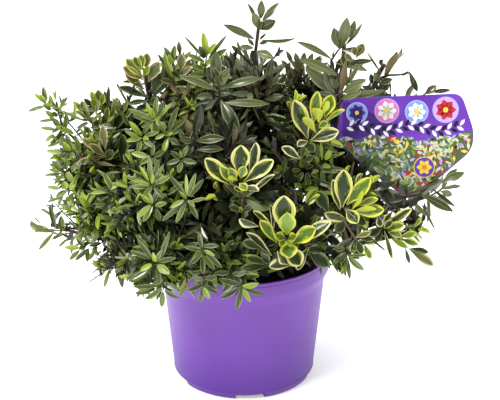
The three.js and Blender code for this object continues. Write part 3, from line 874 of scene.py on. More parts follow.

# %% [markdown]
# ## Leaf blades
# The clump carries three leaf kinds, all built alike: a thin closed blade with a few stations from base
# to tip, bent along an arc of a circle and folded up along its midrib. One template serves thousands of
# leaves. Listed leaves and leaves in the open use fine templates, those inside the crown a plain one.


# %% Leaf template
def leaf_template(stations, across, under, roles):
    """Faces of one leaf, how far along (u) and across (v) each point and face lies, and each face's
    role: a letter for each strip of the upper face, then of the underside. stations are shares of the
    length, across and under are shares of the half width."""
    width, each = len(across), len(across) + len(under)
    count = len(stations)
    index = 1 + np.arange(count)[:, None] * each + np.arange(each)
    tip = 1 + count * each
    upper = list(index[:, :width].T)
    lower = [upper[0], *index[:, width:].T, upper[-1]]
    quads, triangles = [], []
    for a, b in zip(upper, upper[1:]):
        quads.append(np.stack([a[:-1], b[:-1], b[1:], a[1:]], -1))
        triangles += [(0, b[0], a[0]), (a[-1], b[-1], tip)]
    for a, b in zip(lower, lower[1:]):
        quads.append(np.stack([a[:-1], a[1:], b[1:], b[:-1]], -1))
        triangles += [(0, a[0], b[0]), (a[-1], tip, b[-1])]
    quads, triangles = np.concatenate(quads), np.array(triangles)
    u = np.concatenate([[0], np.repeat(stations, each), [1]])
    v = np.concatenate([[0], np.tile([*across, *under], count), [0]])
    letters = np.concatenate([np.repeat(list(roles), count - 1), np.repeat(list(roles), 2)])
    return {
        "quads": quads, "triangles": triangles, "roles": letters, "u": u, "v": v,
        "below": np.concatenate([[0], np.tile([0] * width + [1] * len(under), count), [0]]),
        "face_u": np.concatenate([u[quads].mean(1), u[triangles].mean(1)]),
        "face_v": np.concatenate([v[quads].mean(1), v[triangles].mean(1)]),
        "size": 2 * len(quads) + len(triangles),
    }


def strip_lines(u, v, phase):
    """How far across the points of an edged leaf lie. Lines between midrib and edge waver along the
    leaf and close in on the tip by the root of 1 - t squared, so that the margin goes round it."""
    side = np.sign(v)
    wave = np.sin(7 * u + 2.1 * side + phase) + 0.6 * np.sin(17 * u - 1.3 * side + 2 * phase)
    closing = np.sqrt(np.clip(1 - (np.clip(u - 0.6, 0, 1) / 0.37) ** 2, 0.003, 1))
    closing = closing ** np.where(np.abs(v) > 0.85, 0.35, 1)
    return np.where(np.abs(v) < 1, (v + 0.3 * wave * v * (1 - np.abs(v))) * closing, v)


def blades(template, rule, leaves):
    """Points of all leaves at once, (n, points, 3). The midrib runs along an arc: forward by
    sin(bend u)/bend and down by (1-cos(bend u))/bend, times the length. Across it lies v times the half
    width, raised by the fold, which follows |v| where the leaf is keeled and the square of v where it
    is cupped, and by a flutter at the margins. The underside hangs by the thickness."""
    u, v = template["u"], template["v"]
    base, along, up, length, width, bend, fold, twist = (leaves[key][:, None] for key in (
        "base", "along", "up", "length", "width", "bend", "fold", "twist"))
    bend = np.where(np.abs(bend) < 1e-3, 1e-3, bend)
    forward = np.sin(bend * u) / bend * length
    down = (1 - np.cos(bend * u)) / bend * length
    side = np.cross(along, up)
    turn = (bend * u)[..., None]
    raised = up * np.cos(turn) + along * np.sin(turn)
    half = np.interp(u, rule["stations"], rule["outline"]) * width / 2
    phase = 40 * twist
    if rule["edged"]:
        v = strip_lines(u, v, phase)
    curve = rule["cup"] * v**2 + (1 - rule["cup"]) * np.abs(v)
    flutter = rule["flutter"] * np.sin(11 * u + 6 * np.sign(v) + phase) * v**2
    turned_on = twist * u
    rise = (fold * curve + flutter + v * np.sin(turned_on)) * half - template["below"] * rule["thickness"]
    return (base + along * forward[..., None] - up * down[..., None]
            + side * (v * half * np.cos(turned_on))[..., None] + raised * rise[..., None])


# %% The three leaf kinds
EDGED = (-1, -0.9, -0.7, -0.48, -0.25, 0, 0.25, 0.48, 0.7, 0.9, 1)
KINDS = {
    "green": {
        "hand": ((0.1, 0.24, 0.42, 0.6, 0.78, 0.9, 0.97), (-1, -0.74, -0.06, 0.06, 0.74, 1), (0,),
                 "mbrbmuu"),
        "fine": ((0.14, 0.36, 0.62, 0.84, 0.95), (-1, -0.74, 0, 0.74, 1), (0,), "mbbmuu"),
        "plain": ((0.35, 0.75), (-1, 0, 1), (0,), "bbuu"),
        "outline": (0.18, 0.4, 0.74, 0.97, 0.98, 0.78, 0.48, 0.22, 0)},
    "dark": {
        "hand": ((0.07, 0.19, 0.34, 0.5, 0.66, 0.81, 0.93), (-1, -0.82, -0.07, 0.07, 0.82, 1), (0,),
                 "mbrbmuu"),
        "fine": ((0.1, 0.28, 0.48, 0.68, 0.87), (-1, -0.82, -0.07, 0.07, 0.82, 1), (0,), "mbrbmuu"),
        "plain": ((0.3, 0.7), (-1, 0, 1), (0,), "bbuu"),
        "outline": (0.1, 0.22, 0.5, 0.82, 1.0, 0.94, 0.66, 0.3, 0)},
    "cream": {
        "hand": ((0.04, 0.1, 0.17, 0.25, 0.34, 0.43, 0.52, 0.61, 0.7, 0.79, 0.87, 0.93, 0.97), EDGED,
                 (-0.7, 0, 0.7), "pmffccffmp" + "nuun"),
        "fine": ((0.08, 0.22, 0.38, 0.54, 0.7, 0.84, 0.94), (-1, -0.8, -0.45, 0, 0.45, 0.8, 1), (0,),
                 "mfccfm" + "uu"),
        "plain": ((0.3, 0.7), (-1, 0, 1), (0,), "bbuu"),
        "outline": (0.12, 0.14, 0.2, 0.32, 0.5, 0.69, 0.85, 0.96, 1.0, 0.97, 0.86, 0.67, 0.46, 0.27, 0)},
}
# leaf length and width, the way between pairs, how many pairs are young, the leaf's angle to the twig
# when young and old, the share of a listed width, the twig's radii, the way between tips, the bare foot
HABITS = table("""
each length width node young tip_angle old_angle slim thick thin spacing bare,
green 0.0240 0.0059 0.0064 2.4 20 70 0.96 0.0009 0.0006 0.0180 0.1,
dark 0.034 0.0092 0.0094 2.6 16 66 0.96 0.0015 0.0009 0.0215 0.12,
cream 0.032 0.0140 0.0080 3 24 68 1 0.0016 0.0010 0.034 0.2""")
SHAPES = table("""
each thickness fold cup bend droop flutter edged,
green 0.0004 0.55 0.2 0.35 0.12 0 0, dark 0.0005 0.26 0.3 0.5 0.2 0.05 0,
cream 0.0005 0.34 0.85 0.12 0.1 0.06 1""")
LAYERS = ("hand", "fine", "plain")
for name, kind in KINDS.items():
    for numbers in (HABITS, SHAPES):
        kind |= zip(numbers["each"], numbers[name])
    kind["stations"] = (0, *kind["hand"][0], 1)  # where the outline's shares of the half width lie
    kind["templates"] = {layer: leaf_template(*kind[layer]) for layer in LAYERS}
    print(name, {layer: made["size"] for layer, made in kind["templates"].items()}, "triangles a leaf")

# %% [markdown]
# ## Leaf colours
# Each kind has plain colours from the heart of the crown to the young tip, dealt out by the leaf's age
# and its spray. The darkest colours, for leaves inside the crown, are painted shade, and a spray's
# lightness is partly painted light and shade. The cream-edged leaf has a pale margin, a dark middle and
# flecks between them.

# %% Leaf finishes
LEAF_GLOSS = 0.23
LEAF_SHEEN = {"green": 0.6, "dark": 0.42, "cream": 0.36}
# the shaded colours are old leaves inside the crown painted darker, as shade, with less sheen
PALETTES = {
    "green": table("""
        deep 38 44 22, old 54 63 30, full 66 78 35, mid 87 102 44, fresh 126 145 53, young 148 166 54,
        rim 146 162 82, rim_old 118 132 70, under 106 114 70, under_deep 44 50 29"""),
    "dark": table("""
        deep 23 26 16, old 36 41 24, full 54 62 35, mid 76 86 50, fresh 98 108 68, young 104 92 60,
        rib 108 114 74, rim 128 134 88, under 100 108 76, under_deep 24 27 17"""),
    "cream": table("""
        middle 42 54 27, fleck 82 100 44, leaf 82 108 38, leaf_fleck 128 148 48, lime 112 142 44,
        lime_edge 176 186 62, yellow 196 192 70, cream 198 194 92, pale 208 202 150, line 220 214 148,
        pink 182 158 116, brown_fleck 108 104 62, edge 134 140 84, under 118 126 84, deep 30 35 20"""),
}
# for each class from 0 to 5, the colour of each role: m margin, p the line inside it, b blade, r rib,
# f flecks, c middle, u the underside and n its margin
LOOKS = {
    "green": table("""
        m old rim_old rim_old rim rim young, b deep old full mid fresh young,
        r old full mid fresh young young, u under_deep under under under under fresh"""),
    "dark": table("""
        m old full rim rim rim young, b deep old full mid fresh young,
        r old full rib rib rim young, u under_deep under under under under young"""),
    "cream": table("""
        m pale cream yellow lime_edge pink fleck, p pale line yellow lime_edge pink edge,
        f fleck fleck leaf_fleck leaf_fleck brown_fleck middle, c middle middle leaf lime fleck middle,
        b deep deep deep deep deep deep, n pale cream yellow lime_edge pink under,
        u under under lime_edge lime_edge under fleck"""),
}
LEAF_FINISHES, LEAF_INDEX = {}, {}
for kind, palette in PALETTES.items():
    LEAF_FINISHES[kind] = [
        finish_of(f"{kind}_leaf_{name}", tint, LEAF_GLOSS + 0.2 * ("under" in name),
                  Specular_IOR_Level=0.15 if "deep" in name else LEAF_SHEEN[kind])
        for name, tint in palette.items()]
    LEAF_INDEX[kind] = {name: i for i, name in enumerate(palette)}
print(sum(map(len, LEAF_FINISHES.values())), "leaf colours")


def edged_roles(template, classes, dice):
    """Roles of a cream-edged leaf's faces, (n, faces). Between middle and margin, a face is a fleck
    where the sum of two waves along the leaf is high, and middle elsewhere."""
    u, v = template["face_u"], template["face_v"]
    phase = dice.uniform(0, TURN, (len(classes), 1))
    waves = np.sin(9 * u + 7 * v + phase) + 0.8 * np.sin(23 * u - 11 * v + 3 * phase)
    flecked = waves > np.where(np.abs(v) > 0.55, -0.3, 0.8)
    return np.where((template["roles"] == "f") & ~flecked, "c", template["roles"])


def dealt_finishes(kind, template, classes, dice):
    """The finish of each face of each leaf, from the face's role and the leaf's class."""
    letters = sorted(LOOKS[kind])
    places = np.array([[LEAF_INDEX[kind][name] for name in LOOKS[kind][letter]] for letter in letters])
    if kind == "cream":
        roles = edged_roles(template, classes, dice)
    else:
        roles = np.tile(template["roles"], (len(classes), 1))
    return places[np.searchsorted(letters, roles), classes[:, None]]


# %% [markdown]
# ## Room for leaves
# A leaf is tested by its base, middle and tip against the pot, the compost and the label. A listed spray
# keeps a space in front of it, where no other leaf grows.

# %% Tests for leaves
def on_label(points):
    """Across, up and out of the label's plane, from its centre."""
    away = points - LABEL_CENTRE
    return away[..., 0], away @ LABEL_UP, away @ LABEL_FACE


def in_panel(across, up, margin=0.002):
    """True inside the panel's outline, grown by a margin: inwards of every edge's line."""
    inside = np.ones(np.shape(across), bool)
    for (x0, y0), (x1, y1) in zip(PANEL_CORNERS, np.roll(PANEL_CORNERS, -1, 0)):
        length = math.hypot(x1 - x0, y1 - y0)
        inside &= ((x1 - x0) * (up - y0) - (y1 - y0) * (across - x0)) / length > -margin
    return inside


def clear(points):
    """True for each leaf whose points, from base to tip, miss the pot, the compost and the label. A
    leaf meets the label if it changes sides of its plane inside the outline."""
    radius = np.hypot(points[..., 0], points[..., 1])
    height = points[..., 2]
    in_pot = (radius < RIM_RADIUS + 0.001) & (height < SOIL_TOP + 0.003)
    at_wall = (height < POT_HEIGHT + 0.0015) & (radius > RIM_RADIUS - 0.004) & (radius < RIM_RADIUS + 0.001)
    across, up, out = on_label(points)
    start, end = out[:, :-1], out[:, 1:]
    share = np.clip(start / np.where(start == end, 1, start - end), 0, 1)
    crossing = (start * end < 0) | (np.minimum(np.abs(start), np.abs(end)) < 0.0012)
    meets = crossing & in_panel(across[:, :-1] + share * np.diff(across, axis=1),
                                up[:, :-1] + share * np.diff(up, axis=1))
    return ~(in_pot.any(1) | at_wall.any(1) | meets.any(1))


def hides_label(points, margin=-0.003):
    """True where a point is seen before the panel: its sight line, stretched to the label's plane by
    the camera's distance over what is left of it at the point, ends inside the outline."""
    out = on_label(points)[2]
    camera_out = on_label(CAMERA_PLACE)[2]
    stretch = (camera_out / (camera_out - out))[..., None]
    across, up, _ = on_label(CAMERA_PLACE + (points - CAMERA_PLACE) * stretch)
    return (out > 0) & in_panel(across, up, margin)


OPEN_SKY = np.array([  # places in the frame where the light comes through: across, down, radius
    (124, 94, 12), (133, 109, 8), (154, 52, 8), (122, 293, 11), (88, 271, 11), (104, 284, 9),
    (43, 124, 10), (378, 258, 13), (399, 253, 9), (361, 268, 7), (401, 84, 9), (110, 296, 9),
    (27, 208, 11), (21, 222, 5), (44, 242, 6), (102, 70, 11), (111, 84, 7), (29, 238, 8), (80, 285, 9)])


def in_open_sky(points):
    """True where a point is seen inside one of the discs of open sky: its way across and up over its
    way forward, times the lens in pixels."""
    away = points - CAMERA_PLACE
    forward = away[..., 1] * COSINE - away[..., 2] * SINE
    up = away[..., 1] * SINE + away[..., 2] * COSINE
    place = np.stack([FRAME_WIDTH / 2 + FOCAL * away[..., 0] / forward,
                      FRAME_HEIGHT / 2 - FOCAL * up / forward], -1)
    return (np.linalg.norm(place[..., None, :] - OPEN_SKY[:, :2], axis=-1) < OPEN_SKY[:, 2]).any(-1)


OWN_SPACES = []  # (start, end, radius) of each space that a spray keeps


def in_own_space(points):
    """True where a point lies nearer to a kept line than its radius. The point's share along the line
    gives the nearest place on it."""
    taken = np.zeros(points.shape[:-1], bool)
    for start, end, radius in OWN_SPACES:
        line = end - start
        share = np.clip(((points - start) @ line) / (line @ line), 0, 1)
        taken |= np.linalg.norm(points - start - share[..., None] * line, axis=-1) < radius
    return taken


# %% [markdown]
# ## Listed sprays
# The eye knows a plant by its outermost shoots, so these are placed one by one. The stem of a spray is
# led back to the middle of its mass, so that every spray sits on what carries it.

# %% Sprays of the top and the right
AHEAD = (0, -0.05, 0.04)  # where the upper faces of a spray's leaves look at, from its tip


def sprays_of(text):
    """Sprays by name, parted by empty lines. The first line says the name, the leaf kind, the mass that
    carries it, its depth y, the room it keeps and, if need be, what its leaves look at. The second says
    where its stem is seen, from foot to tip. A leaf is foot across and down, tip across and down, how
    much nearer the tip is and the width in millimetres, class and, if need be, its turn in degrees."""
    sprays = {}
    for entry in text.strip().split("\n\n"):
        head, *rows = entry.split("\n", 2)
        name, kind, mass, depth, room, *ahead = map(number, head.split())
        stem, leaves = ([[number(word) for word in row.split()] for row in part.split(",")]
                        for part in rows)
        sprays[name] = {"kind": kind, "mass": mass, "depth": depth, "room": room,
                        "ahead": ahead or AHEAD, "stem": stem, "leaves": leaves}
    return sprays


TOP_SPRAYS = sprays_of("""
top_shoot dark top_shoot 0.02 0.012
252 84, 254 66, 257 44, 258.5 30
261 19 261.5 0 2 8 3, 259 29 253 12 3 9 4, 257 22 247.5 3 -3 4 2 20, 262 21 279 2.5 0 7 3 0,
258.5 29 276 20.5 5 11 2 0, 255 39.5 223 24.5 2 8 3 10, 260 39.5 296.5 38 2 5.5 4 40,
259 40 266.5 33 3 2.6 1 0, 254 46 247.5 38 4 4 5 0, 254 48 239 46.5 3 5.5 4 0, 256 51 274 58 8 9 4 0,
259 44 268.5 41 6 4 2 0, 257 66 252 50 -4 9 1 0, 259 64 264 52 -4 8 1 0, 258 30 262 21 7 5 3

top_side_left dark top 0.02 0.006
253 70, 248 63, 243 57
244 57 231 45 0 5 2 0, 241 54 237 41 0 3 3 0, 247 62 242 54 3 3 2 0

top_side_right dark top 0.02 0.006
262 72, 269 64, 275 57
274 57 284 49.5 0 5 1 0, 277 54 280.5 46 0 2.4 1 0, 273 60 277 68 3 5 2 0

right_shoot dark right_shoot 0.042 0.012
334 92, 331 76, 331.5 63, 336 55, 340 49, 343 46
342 47 347.3 17 2 12 4 0, 340 49 333.5 27.5 2 11.5 3 0, 350 40 355 20 0 7 3 0, 344.5 46 362.5 23 1 5 3 30,
341 50 364 50 3 6 2 0, 333 60 296 41.5 2 7.5 3 35, 334 62 368 71 4 8 4 -20, 346 63 373 60.5 3 6 2 0,
345 51 347 67 6 12 2 0, 338 76 298 58.5 6 10 4 15, 332.5 59 333.5 51 0 2 1 0, 336 73 340 58 2 5 1 0,
334 71 330.5 58 0 4 1 0, 341 67 345 56 3 5 2 0, 345 84 367 79.5 3 5 3 0

right_shoot_pink cream right_shoot 0.036 0.01
350 90, 351 72, 355 60
356 58 363.5 43.5 2 9 4 0, 355 56 354 46.5 4 7 4 0, 357 54 362 47 6 5 4 0, 353 62 345 54 3 6 4 0

right_top dark right_top 0 0.016
339 124, 340 106, 339.5 92
335 93 305.5 67 5 13 3 0, 341 95 345.5 60.5 8 7 5 0, 345 86 360 64 3 5 3 0, 333 92 324 71 8 9 3 0,
342 93 366 81 6 10 4 0, 342 96 386 90 3 7 3 20, 341 99 362 92 10 7 4 0, 337 100 316 92 10 9 2 0,
336 106 320 112 8 9 1 0, 338 88 330 78 12 7 3 0

right_back_shoot dark right_back_shoot 0.055 0.012
366 108, 372 96, 378 84, 382 78
384 75 397 52.5 0 7.5 5 0, 382 75 366 50.5 -2 2.4 3 0, 380 83 393 79 5 7 2 0, 379 82 374 72 3 7 4 0,
371.5 84 371 73.5 0 5 1 0, 383 91 389 84 2 6 2 0, 374 92 362 86 6 7 3 0, 372 96 386 95 4 7 2 0

right_back_twig dark right_back_shoot 0.06 0.008
380 82, 390 77.5, 400 76, 409 73
409 71 417.5 92 1 6.5 2 0, 402 76 409 71 2 3 2 0

label_top_right dark right_back 0.075 0.006
410 112, 420 100, 426 93
425 94 437 85.5 0 8 5 0, 430 92 451 90 0 5 2 0

right_low dark right -0.022 0.016
392 200, 403.5 197, 413.7 194.5, 430 187, 441 181
441 182 464.8 172.5 1 9 3 0, 443 181 457.5 168.5 -2 6 3 0, 421 194 453.5 211.5 4 9.5 2 0,
431 188 456 207 3 3.5 1 0, 440 191 452.5 195 -2 7 4 0, 420 201 435.8 231 3 2.8 2 0,
411 206 416.5 236 5 14 1 0, 418 230 423.5 220 0 2.5 2 0, 412 201 426.5 216 8 5 3 0, 418 197 409 208 4 6 1 0,
404 197 396 210 6 9 1 0, 406 197 401 184 4 9 1 0, 392 200 384 188 4 9 1 0

ridge_right dark right_top 0.045 0
300 88, 301 78, 302 68
293 65 286 50.5 0 5 3, 298 65 295 52.5 0 6 4, 303 65 304.5 52 0 6 5, 308 66 313 53 0 6 4,
313 68 321 55.5 0 6 3, 289 70 281 60 0 5.4 3, 300 71 290 60 2 5.4 4, 306 72 312 62 3 6 4,
296 72 300 60 3 6 5, 286 72 290 62 3 5.4 3, 318 74 328 62 1 6 3, 312 76 322 70 3 6 4
""")
print(len(TOP_SPRAYS), "sprays")

# %% Sprays of the left
LEFT_SPRAYS = sprays_of("""
top_left_lime green top_left -0.005 0.011
202 98, 204 78, 206 60, 207 55
207 57 203 32 0 7 5, 207 55 216 43 3 5 5, 205 58 199 46 4 8 1, 205 62 185 54 3 5 3, 208 60 227 35 0 4 2,
205 60 184 36 -2 3 2, 206 64 216 60 6 6 4, 204 70 192 66 6 6 3, 204 76 190 74 6 6 3, 211 60 227 49 1 6 3,
209 62 221 54 2 6 2

top_left_grey dark top_left -0.012 0.013
214 112, 213 98, 214 84
211 87 178 75.6 4 7 3, 216 79 216 51 2 12 3 0, 214 84 206 68 6 7 2, 214 86 230 74 4 7 3, 213 96 196 98 8 8 3,
214 94 232 92 6 8 2, 210 90 198 78 5 6 4 0

top_left_bright green top_left 0 0.01
178 104, 174 88, 172.5 74, 172.5 60
172.2 78 164 53.6 2 7 4, 170 72 157.5 54 -2 4 1, 172.8 60 175 45 2 6 3, 172 60 164 47 2 5 2,
173 70 184 62 4 5 3, 174 80 188 76 6 6 3, 174 84 160 80 6 6 2, 173 66 168 54 6 5 5, 176 92 190 90 6 6 3

top_left_brown dark top_left 0.004 0.008
186 98, 182 82, 180.5 66, 180 54
180 55 178.6 41 2 5 5, 182 72 191.6 58.7 3 5 5, 181 62 191.6 51 2 4 5, 180 62 172 54 4 4 5,
184 84 196 76 4 6 2, 183 88 170 84 4 6 2

top_left_edged cream top_left -0.006 0.008
186 96, 182 78, 181 72
181 72 181.4 53.6 3 9 4, 182 76 191 66 5 6 4, 181 78 171 72 6 6 5

cream_top_left cream cream_left 0.022 0.017
150 116, 148.3 101, 146 90, 144.4 76, 143 68
143 68 140.6 54.5 2 8 2, 142 70 133.6 56.7 3 8 2, 143 78 126 58.6 1 11 2, 143 80 122.7 67 4 10 4,
146 70 147 53 -2 9 4, 148 82 159.5 62 2 11 4, 145 90 125 73 5 9 4, 143 81 122 82 5 4 1,
148.9 98 118.3 87 4 9 5 30, 149.5 100 128 104 8 6 5, 152 94 162 71.5 0 12 5, 152 98 169.3 80 4 7 5,
144 76 149 66 6 6 3, 149 104 160 100 10 9 5, 148 106 136 112 12 9 5

left_upper_tip green left_upper_tip -0.008 0.008
88 152, 80 141, 72 130, 63 119, 56 109, 48 102
46 102 43 86.5 2 5.5 3, 45 103 34 93.5 1 4 5, 46 103 39.5 94.5 4 4.5 5, 46 106 28 111.5 1 4.5 3,
51 110 43 104 4 5 3, 50 105 51 98.5 4 4.5 4, 56 107 50 99 3 3 4, 54 118 45 110.5 4 5 4,
59.5 109 68 96.5 0 3.6 2, 56 120 38.5 121.5 2 3.4 3, 61 118 65 110.5 4 4.5 4, 58 116 51 113 6 5 3,
57 130.5 40 128 1 4.4 4, 68 133 55 125.5 4 5.5 5, 62 130 52 120 3 5 3, 68 125 66 113 3 5 3,
66 135 51 143 2 4 3, 54 134 46 142 0 4.4 4, 67 133 54 139 5 3 2, 76 136 85.5 131.5 2 3 1,
75 134 82.5 127 1 2.6 1, 66 129 66 115 2 5 3, 74 134 59 128 3 6 4, 72 148 66 135 2 5 2, 70 148 63 142 3 4 5,
76 129 88 121.5 1 2.6 2, 60 124 49 117 3 4 3, 71 122 77 110 1 4 3, 63 126 52 133 3 4 2

left_upper_branch green left_upper -0.02 0.006
104 128, 96 124, 86 121, 75 118
84 121 61 111 2 3.5 3, 75 119 75 102 2 3.5 4, 76 118 68 122 4 3 2, 90 122 77 130 3 2.5 2,
92 122 100 115 4 4 3, 98 125 114 128 5 4 2

left_upper_low green left_upper -0.026 0.006
90 154, 80 151, 70 151, 60 152.5
62 153 46 151 2 5 4, 72 150 66 134 2 6.5 3, 70 151 62.5 141.5 4 5.5 5, 68 153 61 159 3 4 1,
78 156 65.5 160 4 3 3, 80 150 76 138 3 5 3, 72 152 74 161 6 5 3, 58 154 49.5 160 0 2 3

left_high green left -0.03 0.007
86 178, 74 173, 61 171.5
61 170 52 161 2 7 3, 60 172 48.5 169.5 3 4 4, 61 174 44 175.5 1 3.6 3, 66 170 67 160.5 2 4.4 2,
64 174 54 184.5 2 3.4 3, 66 172 73 182 5 6 4, 72 172 78 162 3 5 3

left_pointing green left -0.036 0.007
88 194, 76 190, 62 188.5
60 189 47 187 2 4.6 4, 66 189 64 181 3 7 5, 70 190 77 180 3 6 5, 66 190 56 197 3 5 3, 74 192 68 203 3 5 3,
64 197 47 202 0 3.4 3

cream_left_first cream cream_left 0 0.008
98 134, 93 124, 87.4 115.7
87.4 115 73 101.5 2 6 2, 87 113 81 101.5 3 8 4, 90 117 84 109 8 8 5, 90 117 95 106 2 5 4

cream_left_second cream cream_left 0.004 0.013
114.2 142.5, 113 128.5, 106 119, 100.8 108
97 109 91 91 1 6 3, 97 108 92 99 4 7 3, 100 104 98.3 89.5 3 8 4, 101 106 104 94 4 6 2,
108 112 108.8 86 -1 4 5, 112 118 117.5 97 2 6.5 4, 107 119 107.8 107 6 6 2, 110 124 124 111 2 4 5,
113 131 121 114 4 10 5 30

cream_left_third cream cream_left -0.03 0.013
124 166, 116 161, 105 154.6
105.5 150 102.5 124.6 2 8 4, 102 152 82 138.5 3 8 4, 105 156 89 144 7 8 4, 106 156 75.6 164 4 7 4 20,
106 160 113 150 8 9 5, 122 164 122 134 0 11 5 30, 116 166 94 163 3 4 4 40

left_tip green left_tip -0.02 0.016
84 235, 76 231.5, 66 229.3, 50 229.5
51 230.5 30.5 227 2 7.5 4 0, 53 231.5 37 230.5 4 5 3 20, 55.5 228 49.5 204.5 1 5.5 2 0,
62 231 61 215.5 3 7.5 3 0, 54 232 38.5 250 2 4.6 3 0, 62 231 58 236 4 3 3 0, 78 229 67.5 220 1 2.6 3 0,
70 238 61.5 233 3 3.4 2 0, 68 238 58.5 247 2 3 3 0, 41 224 33.5 216 -1 1.6 2 0

left_tip_low green left_tip -0.036 0.01
104 239, 97.6 241.5, 88 246, 78 248
80 248 64.5 247.5 2 5.6 5, 80 250 69.5 260 2 4.8 3, 90 248 75 260.5 4 5 1, 88 248 87.5 262 4 5 2,
97 248 89 260 2 4.4 3, 84 246 76 238 4 5 3, 90 243 84 232 4 5 4, 102 251 95 255.5 2 2.6 3,
94 242 100 230 4 5 3, 102 243 89 246 2 5 2, 98 247 92 251 2 4.4 3

left_low green left_low -0.065 0.008 -0.02 -0.05 0.01
138 258, 128 263, 118 265, 109 267.5
109 268 91.5 263 1 6 4, 110 268.5 104.5 287.5 2 4.4 3, 122 269 122.6 287.5 2 6 1, 129 266 127 281.5 1 4 3,
112 266 100 255 3 6 2, 126 262 115.5 263.5 7 6 5, 128 260 119 252.5 5 6 4, 104 268 95 270 0 3 4,
132 263 138 276 5 5 3, 124 264 115 273 3 5 3

left_star green left_middle -0.106 0.012
154 214, 152 200, 151.5 186
151 182 149 155 2 4.5 3, 153 182 159 159 2 5 2, 149 182 139 165 4 3.5 5, 150 184 124 176 4 4.5 3,
150 186 133 180 7 4.5 4, 151 187 130 187 6 4.5 3, 154 184 171 176 3 5.5 3, 153 183 164 164 3 3.5 3,
152 184 153 173 6 3.5 5, 152 187 143 197 7 4.5 3, 154 188 164 198 6 4.5 2

left_star_low green left_middle -0.104 0.011
158 226, 155 216, 151 206
151 205 138 217 3 6 4, 153 206 143 222 5 5 3, 150 203 140 194 4 5 5, 153 203 159 188 2 5 2,
155 206 167 203 4 5 3, 152 204 149 192 6 4 4, 156 208 160 221 5 5 2

left_star_high green left_upper -0.045 0.01
162 142, 158 131, 154.5 121
153 119 146 102 3 4.5 5, 155 118 157 96 2 5.5 3, 157 118 164 101 1 6 2, 153 120 128 109 2 5 3,
152 122 132 115 5 5 2, 156 120 171 104 3 4 4, 153 123 141 127 6 4.5 3, 157 122 167 128 5 5 3,
155 123 158 135 6 5 2, 155 119 152 109 6 3.5 5

left_star_middle green left_upper -0.05 0.01
150 154, 146 145, 142 138
141 136 129 121 3 5.5 5, 142 138 126 141 4 5 4, 140 139 125 131 5 4.5 4, 143 134 150 122 3 4.5 2,
144 136 159 132 3 4.5 3, 143 139 153 147 5 5 3, 141 140 138 152 6 5 3, 142 136 135 127 7 3.5 5,
143 138 149 139 8 4 4, 156 141 136 151 4 5 2

left_star_right green top_left -0.05 0.009
176 152, 171 144, 167 136
164 135 180 131 3 5.5 2, 168 138 163 153 6 5.5 4, 165 134 155 139 4 4 4, 168 133 178 106 -2 5.5 2,
165 133 159 122 2 4 3, 168 137 179 145 5 5 2, 167 136 173 132 6 3.5 5, 170 131 186 119 1 5 2

left_pair green left_middle -0.066 0.007
162 170, 156 163, 151 157
149 157 131 153 3 6 4, 152 156 154 144 3 4 3, 154 157 165 151 4 5 2, 150 158 140 164 5 5 3,
152 158 159 167 5 5 2

middle_low green left_middle -0.07 0.008
188 178, 185 170, 182 161
182 158 188 145 2 4.5 3, 183 161 197 163 4 5 2, 181 159 170 151 3 5 1, 180 160 167 164 4 5 2,
182 162 178 173 6 5 3, 181 158 180 150 4 3.5 4

left_upper_middle green left_upper -0.01 0.008
112 152, 104 139, 99 127
98 111 78 108 1 3 2, 100 117 82 121 2 3.5 2, 98 122 85 118 3 3.5 3, 97 135 88 133 3 3.5 4,
96 133 92 123 2 4.5 2, 100 130 109 121 4 3.5 3, 104 134 113 127 4 4 2, 102 120 95 112 4 3.5 4,
107 122 114 116 4 3.5 4, 100 127 90 128 5 3.5 3, 99 125 101 114 3 3.5 3, 92 122 75 110 2 4 3,
90 118 82 100 2 4 4, 96 113 99 100 2 4 3, 121 116 115 103 2 4 2, 124 112 128 99 2 4 3, 126 118 134 107 3 4 2,
122 108 112 98 2 4 3
""")
print(len(LEFT_SPRAYS), "sprays")
